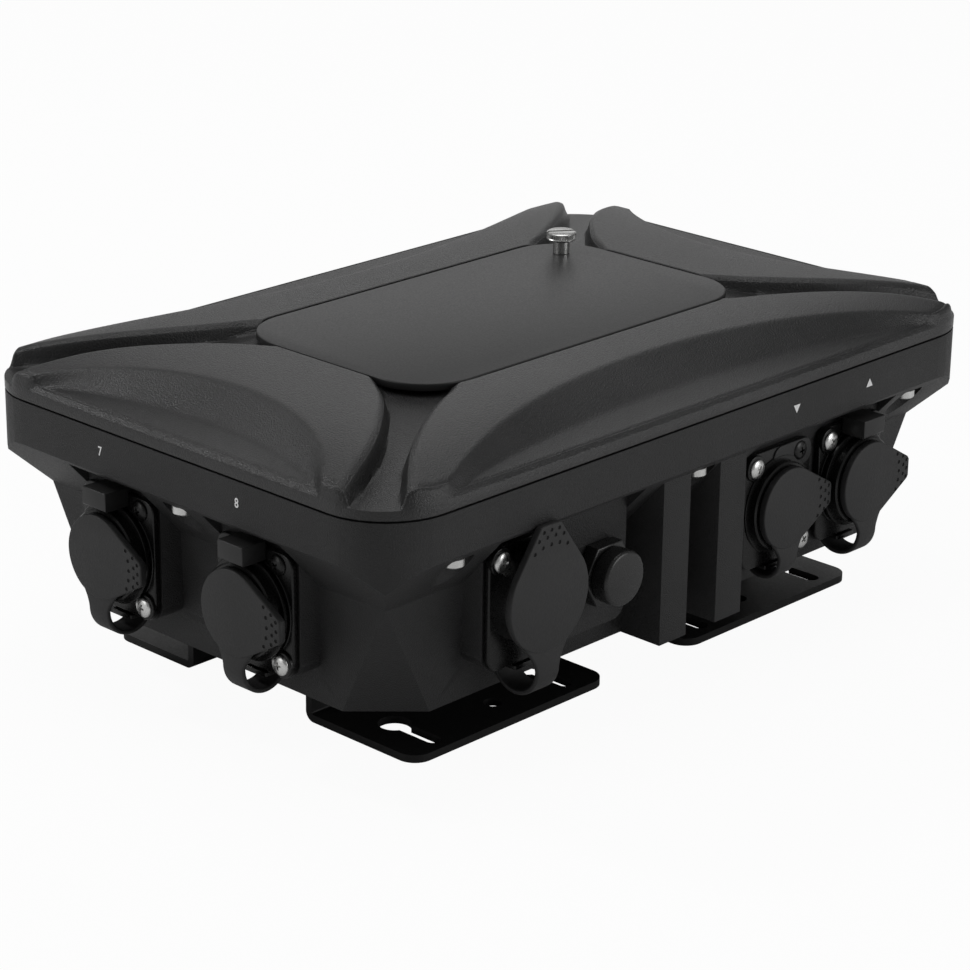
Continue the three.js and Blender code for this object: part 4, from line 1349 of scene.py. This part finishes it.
    def _cap_outline(self) -> list[Point]:
        """A disc with a tangent tab, whose tip is cut square.

        Returns:
            The outline, anticlockwise, about the cap's middle.
        """
        half = self.cap_tip_width / 2
        reach = math.hypot(self.cap_tip, half)
        tangent = math.atan2(half, self.cap_tip) + math.acos(self.cap_radius / reach)
        tip, (cut_x, cut_y), wide = self.cap_tip, self.cap_tip_cut, half - self.cap_tip_draw
        points = [
            (tip - cut_x, -wide), (tip, -half + cut_y), (tip, half - cut_y), (tip - cut_x, wide),
        ]
        for step in range(self.cap_steps + 1):
            angle = tangent + (math.tau - 2 * tangent) * step / self.cap_steps
            points.append((self.cap_radius * math.cos(angle), self.cap_radius * math.sin(angle)))
        turn = math.radians(self.cap_turn)
        return [
            (x * math.cos(turn) - y * math.sin(turn), self.centre + x * math.sin(turn) + y * math.cos(turn))
            for x, y in points
        ]

    def _dimples(self) -> BMesh:
        """Small round dents for the finger, near the tab's tip."""
        dents = bmesh.new()
        size = self.cap_tip / self.dents_tip
        turn = math.radians(self.cap_turn)
        for x, y in self.dents:
            place = Matrix.Translation((
                (x * math.cos(turn) - y * math.sin(turn)) * size,
                self.cap_front,
                self.centre + (x * math.sin(turn) + y * math.cos(turn)) * size,
            ))
            bmesh.ops.create_icosphere(dents, subdivisions=2, radius=self.dent, matrix=place)
        return dents

    def _cap(self) -> BMesh:
        """The disc with its tab and the plug behind it."""
        front, back = self.cap_front, self.cap_front + self.cap_thickness
        disc = moved(slab(self._cap_outline(), -back, -front, self.cap_edge), UPRIGHT)
        disc = carved(disc, self._dimples())
        plug = self.bore - self.plug_gap
        inner = plug - self.plug_wall
        near = back - self.plug_overlap
        deep = back + self.plug_depth + self.plug_overlap
        profile = [
            (0.0, near), (plug, near), (plug, deep - 1.2), (plug + self.plug_lip, deep - 0.9),
            (plug, deep - 0.4), (plug - 0.4, deep), (inner + 0.3, deep), (inner, deep - 0.6),
            (inner, back + 0.6), (0.0, back + 0.6),
        ]
        return joined(disc, moved(spun(profile, 48), Matrix.Translation((0.0, 0.0, self.centre))))

    def _root(self) -> BMesh:
        """The strap's root, which runs under the flange to its front."""
        outer = (self.strap_back - self.cap_front) / 2
        top = self._root_top()
        drop = self.centre - self.strap_drop - top
        run = math.sqrt((outer - self.strap_thickness) ** 2 - drop * drop)
        start, end = self.flange_depth[0], self.cap_front + outer + run + self.root_over
        middle = (end + start) / 2
        outline = round_rectangle(self.strap_width, end - start, self.root_corner, 3, 0.0, middle)
        return slab(outline, top - self.strap_thickness, top, self.root_edge)

    def _root_top(self) -> float:
        """Height of the root's upper face."""
        return self.flange_z - self.flange_height / 2 - self.root_gap

    def _strap(self) -> BMesh:
        """The band from the disc by a neck down and round to its root.

        Returns:
            The band, closed at both ends.
        """
        outer = (self.strap_back - self.cap_front) / 2
        middle = outer - self.strap_thickness / 2
        loop_y, loop_z = self.cap_front + outer, self.centre - self.strap_drop
        neck_z = self.centre - self.neck * self.cap_radius
        swell = 2 * self.cap_radius * math.sqrt(1 - self.neck * self.neck) / self.strap_width - 1
        path: list[tuple[Point, Point, float]] = []
        straight, bent = self.strap_steps
        for step in range(straight + 1):
            height = neck_z + self.neck_start + (loop_z - neck_z - self.neck_start) * step / straight
            rise = max((height - loop_z) / (neck_z - loop_z), 0.0)
            at = (loop_y - middle + self.neck_lift * ease(rise), height)
            path.append((at, (0.0, -1.0), 1 + swell * rise**self.neck_power))
        last = math.pi - math.asin((loop_z - self._root_top() + self.strap_thickness / 2) / middle)
        for step in range(1, bent + 1):
            angle = math.pi + last * step / bent
            path.append((
                (loop_y + middle * math.cos(angle), loop_z + middle * math.sin(angle)),
                (-math.sin(angle), math.cos(angle)),
                1.0,
            ))
        section = round_rectangle(self.strap_width, self.strap_thickness, self.strap_edge, 3)

        def place(column: int, row: int) -> tuple[float, float, float]:
            """Corner of the band's skin."""
            (y, z), (along_y, along_z), wide = path[row]
            across, thick = section[column % len(section)]
            return (across * wide, y + along_z * thick, z - along_y * thick)

        bm = loft(len(section), len(path) - 1, place)
        ends = [edge for edge in bm.edges if len(edge.link_faces) == 1]
        bmesh.ops.holes_fill(bm, edges=ends)
        bmesh.ops.recalc_face_normals(bm, faces=bm.faces)
        return bm

    def build(self, screw: BMesh) -> None:
        """Makes the connector at its wall.

        Args:
            screw: the shared screw head.
        """
        place = self.wall.matrix(self.x)
        body = joined(self._flange(), self._barrel(), self._root())
        piece(f"{self.name}_shell", body, PLASTIC, stands_for=[self.node], place=place)
        if self.pins:
            x, up = self.input_plate_place
            outline = round_rectangle(*self.input_plate, 6, x, self.flange_z + up)
            front, back = self.input_plate_depth
            plate = moved(slab(outline, -back, -front, self.input_plate_edge), UPRIGHT)
            piece(f"{self.name}_plate", plate, RUBBER, place=place)
        piece(
            f"{self.name}_lid", self._cap(), RUBBER, body=self.cap_node, stands_for=[self.cap_node],
            place=place,
        )
        strap = piece(f"{self.name}_strap", self._strap(), RUBBER, body=None, place=place)
        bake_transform(strap)
        screws = [(x, up, self.bright_seat, STEEL) for x, up in self.bright_screws]
        # Painted shade: the shadowed screws take the black plastic finish instead of plated steel.
        screws += [(x, up, self.dark_seat, PLASTIC) for x, up in self.dark_screws]
        first, following, along = self.screw_turns
        for index, (x, up, depth, finish) in enumerate(screws, 1):
            seat = Matrix.Translation((x, depth, self.flange_z + up))
            turn = Matrix.Rotation(math.radians(first + following * index + along * self.x), 4, "Y")
            piece(f"{self.name}_screw_{index}", screw.copy(), finish, place=place @ seat @ turn)


@dataclass
class Latch:
    """The release latch above a socket."""

    edge: float = 0.55

    def build(self, node: str) -> None:
        """Rounds a latch's edges over.

        Args:
            node: the latch's node.
        """
        bm = rounded_node(node, self.edge, angle=20.0, segments=3)
        piece(f"{node}_button", bm, LATCH, body=node, stands_for=[node])


@dataclass
class FuseHolder:
    """The fuse holder's six-sided bezel, with its screw cap."""

    x: float = -32.9
    z: float = 39.0
    bezel: float = 8.6
    bezel_depth: tuple[float, float] = (3.0, 6.7)
    bezel_edge: float = 0.45
    tube: float = 6.0
    tube_depth: tuple[float, float] = (3.2, 30.0)
    tube_floor: float = 3.4
    tube_edge: float = 0.3
    hole: float = 3.0
    hole_depth: tuple[float, float] = (2.0, 7.0)
    knob: float = 7.0
    knob_shank: float = 2.6
    knob_end: float = 6.0
    front: float = -2.0
    back: float = 2.7

    def build(self) -> None:
        """Makes the bezel and the cap."""
        place = Wall.FRONT.matrix(self.x) @ Matrix.Translation((0.0, 0.0, self.z))
        turns = [math.pi * corner / 3 for corner in range(6)]
        corners = [(self.bezel * math.cos(turn), self.bezel * math.sin(turn)) for turn in turns]
        front, back = self.bezel_depth
        bezel = moved(slab(corners, -back, -front, self.bezel_edge), UPRIGHT)
        inner, outer, edge = self.hole, self.tube, self.tube_edge
        start, end = self.tube_depth
        floor = end - self.tube_floor
        tube = spun([
            (inner, start), (outer, start), (outer, end - edge), (outer - edge, end),
            (0.0, end), (0.0, floor), (inner, floor), (inner, start),
        ])
        start, end = self.hole_depth
        hole = spun([(0.0, start), (inner, start), (inner, end), (0.0, end)], 40)
        piece("fuse_bezel", joined(carved(bezel, hole), tube), FUSE, stands_for=["fuse_holder"], place=place)
        wide, shank = self.knob, self.knob_shank
        knob = spun([
            (0.0, self.front), (wide - 0.9, self.front), (wide - 0.45, self.front + 0.12),
            (wide - 0.12, self.front + 0.45), (wide, self.front + 0.9), (wide, self.back - 0.4),
            (wide - 0.4, self.back), (shank, self.back), (shank, self.knob_end - 0.3),
            (shank - 0.3, self.knob_end), (0.0, self.knob_end),
        ])
        piece("fuse_knob", knob, FUSE, body="fuse_cap", stands_for=["fuse_cap"], place=place)


@dataclass
class Bracket:
    """A hat-shaped sheet bracket with rounded bends, two keyholes and two round holes."""

    sheet: float = 2.0
    width: float = 68.2
    inner_gap: float = 15.2
    reach: float = 54.5
    front_leg: float = 19.1
    rear_leg: float = 26.1
    top: float = 15.0
    bend: float = 2.6
    bend_steps: int = 8
    corner: float = 5.0
    cut_over: float = 5.0
    keyhole_x: float = 23.3
    keyhole_y: float = -36.8
    keyhole_radius: float = 4.15
    slot_width: float = 4.0
    slot_end: float = -51.7
    hole_y: float = 45.1
    hole_shift: float = 2.2
    hole_radius: float = 2.35
    hole_sides: int = 40
    screw_hole: float = 1.8
    screw_places: tuple[float, float] = (-9.1, 16.1)

    def _profile(self) -> list[Point]:
        """The sheet's section from foot to foot, its bends rounded.

        Returns:
            The outline, in Y and Z.
        """
        half = self.sheet / 2
        line = [
            (-self.reach, half), (-self.front_leg + half, half), (-self.front_leg + half, self.top - half),
            (self.rear_leg - half, self.top - half), (self.rear_leg - half, half), (self.reach, half),
        ]
        middle = self.bend - half
        path: list[tuple[Point, Point]] = [(line[0], (1.0, 0.0))]
        for before, at, after in zip(line, line[1:], line[2:]):
            a = Vector(before) - Vector(at)
            b = Vector(after) - Vector(at)
            a.normalize()
            b.normalize()
            centre = Vector(at) + (a + b) * middle
            for step in range(self.bend_steps + 1):
                turn = math.radians(90.0 * step / self.bend_steps)
                point = centre - b * middle * math.cos(turn) - a * middle * math.sin(turn)
                along = b * math.sin(turn) - a * math.cos(turn)
                path.append((tuple(point), tuple(along)))
        path.append((line[-1], (1.0, 0.0)))
        left = [(y - az * half, z + ay * half) for (y, z), (ay, az) in path]
        right = [(y + az * half, z - ay * half) for (y, z), (ay, az) in path]
        return right + left[::-1]

    def _post(self, radius: float, x: float, y: float) -> BMesh:
        """A round cutter through the whole height."""
        return rod(radius, self.top * 3, self.hole_sides, (x, y, 0.0))

    def _cutters(self, side: float) -> list[BMesh]:
        """Everything that is cut from one side's sheet, in groups that don't touch."""
        cutters = []
        for x in (-self.keyhole_x, self.keyhole_x):
            slot = round_rectangle(
                self.slot_width, self.keyhole_y - self.slot_end, self.slot_width / 2 - 0.01, 12,
                x, (self.keyhole_y + self.slot_end) / 2,
            )
            cutters.append(slab(slot, -self.cut_over, self.cut_over, 0.0))
            cutters.append(self._post(self.keyhole_radius, x, self.keyhole_y))
        shift = -side * self.hole_shift
        holes = [self._post(self.hole_radius, shift, y) for y in (-self.hole_y, self.hole_y)]
        holes += [self._post(self.screw_hole, 0.0, y) for y in self.screw_places]
        cutters.append(joined(*holes))
        return cutters

    def build(self, side: float, node: str) -> None:
        """Bends the sheet and cuts its corners and holes.

        Args:
            side: -1 for the left bracket and 1 for the right one.
            node: the bracket's node.
        """
        bm = slab(self._profile(), -self.width / 2, self.width / 2, 0.0)
        moved(bm, Matrix(((0, 0, 1, 0), (1, 0, 0, 0), (0, 1, 0, 0), (0, 0, 0, 1))))
        outline = round_rectangle(self.width, self.reach * 2, self.corner, 10)
        keep = slab(outline, -self.cut_over, self.top + self.cut_over, 0.0)
        bm = carved(bm, carved(block(self.width * 2, self.reach * 4, self.top * 2.5), keep))
        for cutter in self._cutters(side):
            bm = carved(bm, cutter)
        bmesh.ops.remove_doubles(bm, verts=bm.verts, dist=MERGE)
        place = Matrix.Translation((side * (self.inner_gap + self.width / 2), 0.0, 0.0))
        piece(f"{node}_sheet", bm, SHEET, stands_for=[node], place=place)


@dataclass
class LidScrew:
    """A screw under the band, its head down."""

    radius: float = 2.75
    low: float = 55.2
    high: float = 57.5
    shank: float = 1.5
    top: float = 73.5
    socket: float = 1.45
    socket_depth: float = 1.3
    inset: float = 4.9
    spread: float = 84.7

    def solid(self) -> BMesh:
        """The screw with a six-sided socket in its head.

        Returns:
            The solid, upright about its own axis.
        """
        profile = [
            (0.0, self.low), (self.radius - 0.35, self.low), (self.radius, self.low + 0.35),
            (self.radius, self.high - 0.2), (self.radius - 0.2, self.high), (self.shank, self.high),
            (self.shank, self.top - 0.3), (self.shank - 0.3, self.top), (0.0, self.top),
        ]
        bm = moved(spun(profile, 48), UPRIGHT)
        return carved(bm, rod(self.socket, self.socket_depth * 2, 6, (0.0, 0.0, self.low)))

    def build(self) -> None:
        """Makes the eight screws."""
        solid = self.solid()
        three = (-self.spread, 0.0, self.spread)
        walls = [(Wall.FRONT, x) for x in three] + [(Wall.RIGHT, 0.0)]
        walls += [(Wall.REAR, x) for x in three] + [(Wall.LEFT, 0.0)]
        for index, (wall, x) in enumerate(walls, 1):
            place = wall.matrix(x) @ Matrix.Translation((0.0, self.inset, 0.0))
            piece(f"rim_screw_{index}", solid.copy(), STEEL, stands_for=[f"lid_screw_{index}"], place=place)
        solid.free()


@dataclass
class Marks:
    """Plain printed numbers and arrows on the band."""

    height: float = 3.3
    middle: float = 65.4
    proud: float = 0.03
    thickness: float = 0.05
    weight: float = 0.06
    narrow: float = 0.82
    merge: float = 0.0005
    pointing_down: tuple[Point, ...] = ((-1.3, 1.1), (0.0, -1.1), (1.3, 1.1))

    def number(self, text: str, wall: Wall, x: float) -> None:
        """Prints a number on a wall's band.

        Args:
            text: the number.
            wall: the wall.
            x: its middle along the wall.
        """
        curve = bpy.data.curves.new(f"number_{text}", "FONT")
        curve.body = text
        curve.size = self.height
        curve.offset = self.weight
        curve.extrude = self.thickness
        curve.align_x = "CENTER"
        curve.align_y = "CENTER"
        scrap = bpy.data.objects.new("scrap", curve)
        bpy.context.scene.collection.objects.link(scrap)
        seen = scrap.evaluated_get(bpy.context.evaluated_depsgraph_get())
        bm = bmesh.new()
        bm.from_mesh(seen.to_mesh())
        seen.to_mesh_clear()
        bpy.data.objects.remove(scrap)
        bpy.data.curves.remove(curve)
        bmesh.ops.remove_doubles(bm, verts=bm.verts, dist=self.merge)
        place = wall.matrix(x) @ Matrix.Translation((0.0, self.thickness - self.proud, self.middle))
        place = place @ UPRIGHT @ Matrix.Diagonal((self.narrow, 1.0, 1.0, 1.0))
        piece(f"mark_{text}", bm, PRINT, place=place)

    def arrow(self, name: str, x: float, outline: Sequence[Point]) -> None:
        """Prints a plain mark on the front band.

        Args:
            name: of the piece.
            x: its middle along the wall.
            outline: its outline about its middle.
        """
        bm = slab(outline, self.proud - 2 * self.thickness, self.proud, 0.0)
        place = Wall.FRONT.matrix(x) @ Matrix.Translation((0.0, 0.0, self.middle)) @ UPRIGHT
        piece(name, bm, PRINT, place=place)

    def build(self) -> None:
        """Prints every mark."""
        for index, (wall, x) in enumerate(OUTPUTS, 1):
            self.number(str(index), wall, x)
        self.arrow("mark_in", INPUT_X, self.pointing_down)
        self.arrow("mark_through", THROUGH_X, [(x, -y) for x, y in reversed(self.pointing_down)])


@dataclass
class Fittings:
    """Pieces whose solids stay as they are and only get their finish."""

    def build(self) -> None:
        """Finishes the seals, boards, fuse, nut and inner screws."""
        finishes = {
            "lid_seal": SEAL, "cover_seal": SEAL, "fuse_nut": PLASTIC, "fuse": GLASS,
            "main_board": BOARD, "switch_board": BOARD, "power_supply": PLASTIC,
            **{f"bracket_screw_{index}": STEEL for index in range(1, 5)},
        }
        for node, finish in finishes.items():
            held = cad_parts[node]
            for index in range(max(len(held.material_slots), 1)):
                if held.material_slots:
                    held.material_slots[index].material = finish.material()
                else:
                    held.data.materials.append(finish.material())
            LOG.info("%s: finished", node)


def connectors() -> list[Connector]:
    """The eleven connectors, from the outputs round to the inlet.

    Returns:
        All of them.
    """
    found = [
        Connector(f"output_{index}", wall, x, f"output_socket_{index}", f"output_cap_{index}")
        for index, (wall, x) in enumerate(OUTPUTS, 1)
    ]
    found.append(Connector(
        "through", Wall.FRONT, THROUGH_X, "through_socket", "through_cap", bright_screws=FRONT_SCREWS,
    ))
    found.append(Connector(
        "input", Wall.FRONT, INPUT_X, "input_plug", "input_cap", collar_front=2.4, ridges=(5.3,),
        bore=8.0, cap_front=0.2, pins=True, bright_screws=FRONT_SCREWS,
    ))
    found.append(Connector(
        "inlet", Wall.FRONT, INLET_X, "power_inlet", "power_cap", centre=41.9, flange_z=39.8,
        collar=12.6, ridges=(), bore=10.6, insert=8.2, cap_radius=13.3, cap_tip=18.4, cap_tip_width=7.5,
        cap_turn=90.0, strap_width=7.6, strap_drop=17.9, bright_screws=FRONT_SCREWS,
    ))
    return found


def main() -> None:
    """Builds the camera, the studio and every sub-assembly in order."""
    logging.basicConfig(level=logging.INFO, format="%(message)s")
    Viewpoint().build()
    Studio().build()
    Housing().build()
    Lid().build()
    Cover().build()
    screw = CrossScrew().solid()
    for connector in connectors():
        connector.build(screw)
        LOG.info("%s connector is in place", connector.name)
    screw.free()
    for node in [f"output_latch_{index}" for index in range(1, 9)] + ["through_latch"]:
        Latch().build(node)
    FuseHolder().build()
    for side, node in ((-1, "bracket_left"), (1, "bracket_right")):
        Bracket().build(side, node)
    LidScrew().build()
    Marks().build()
    Fittings().build()


if __name__ == "__main__":
    main()
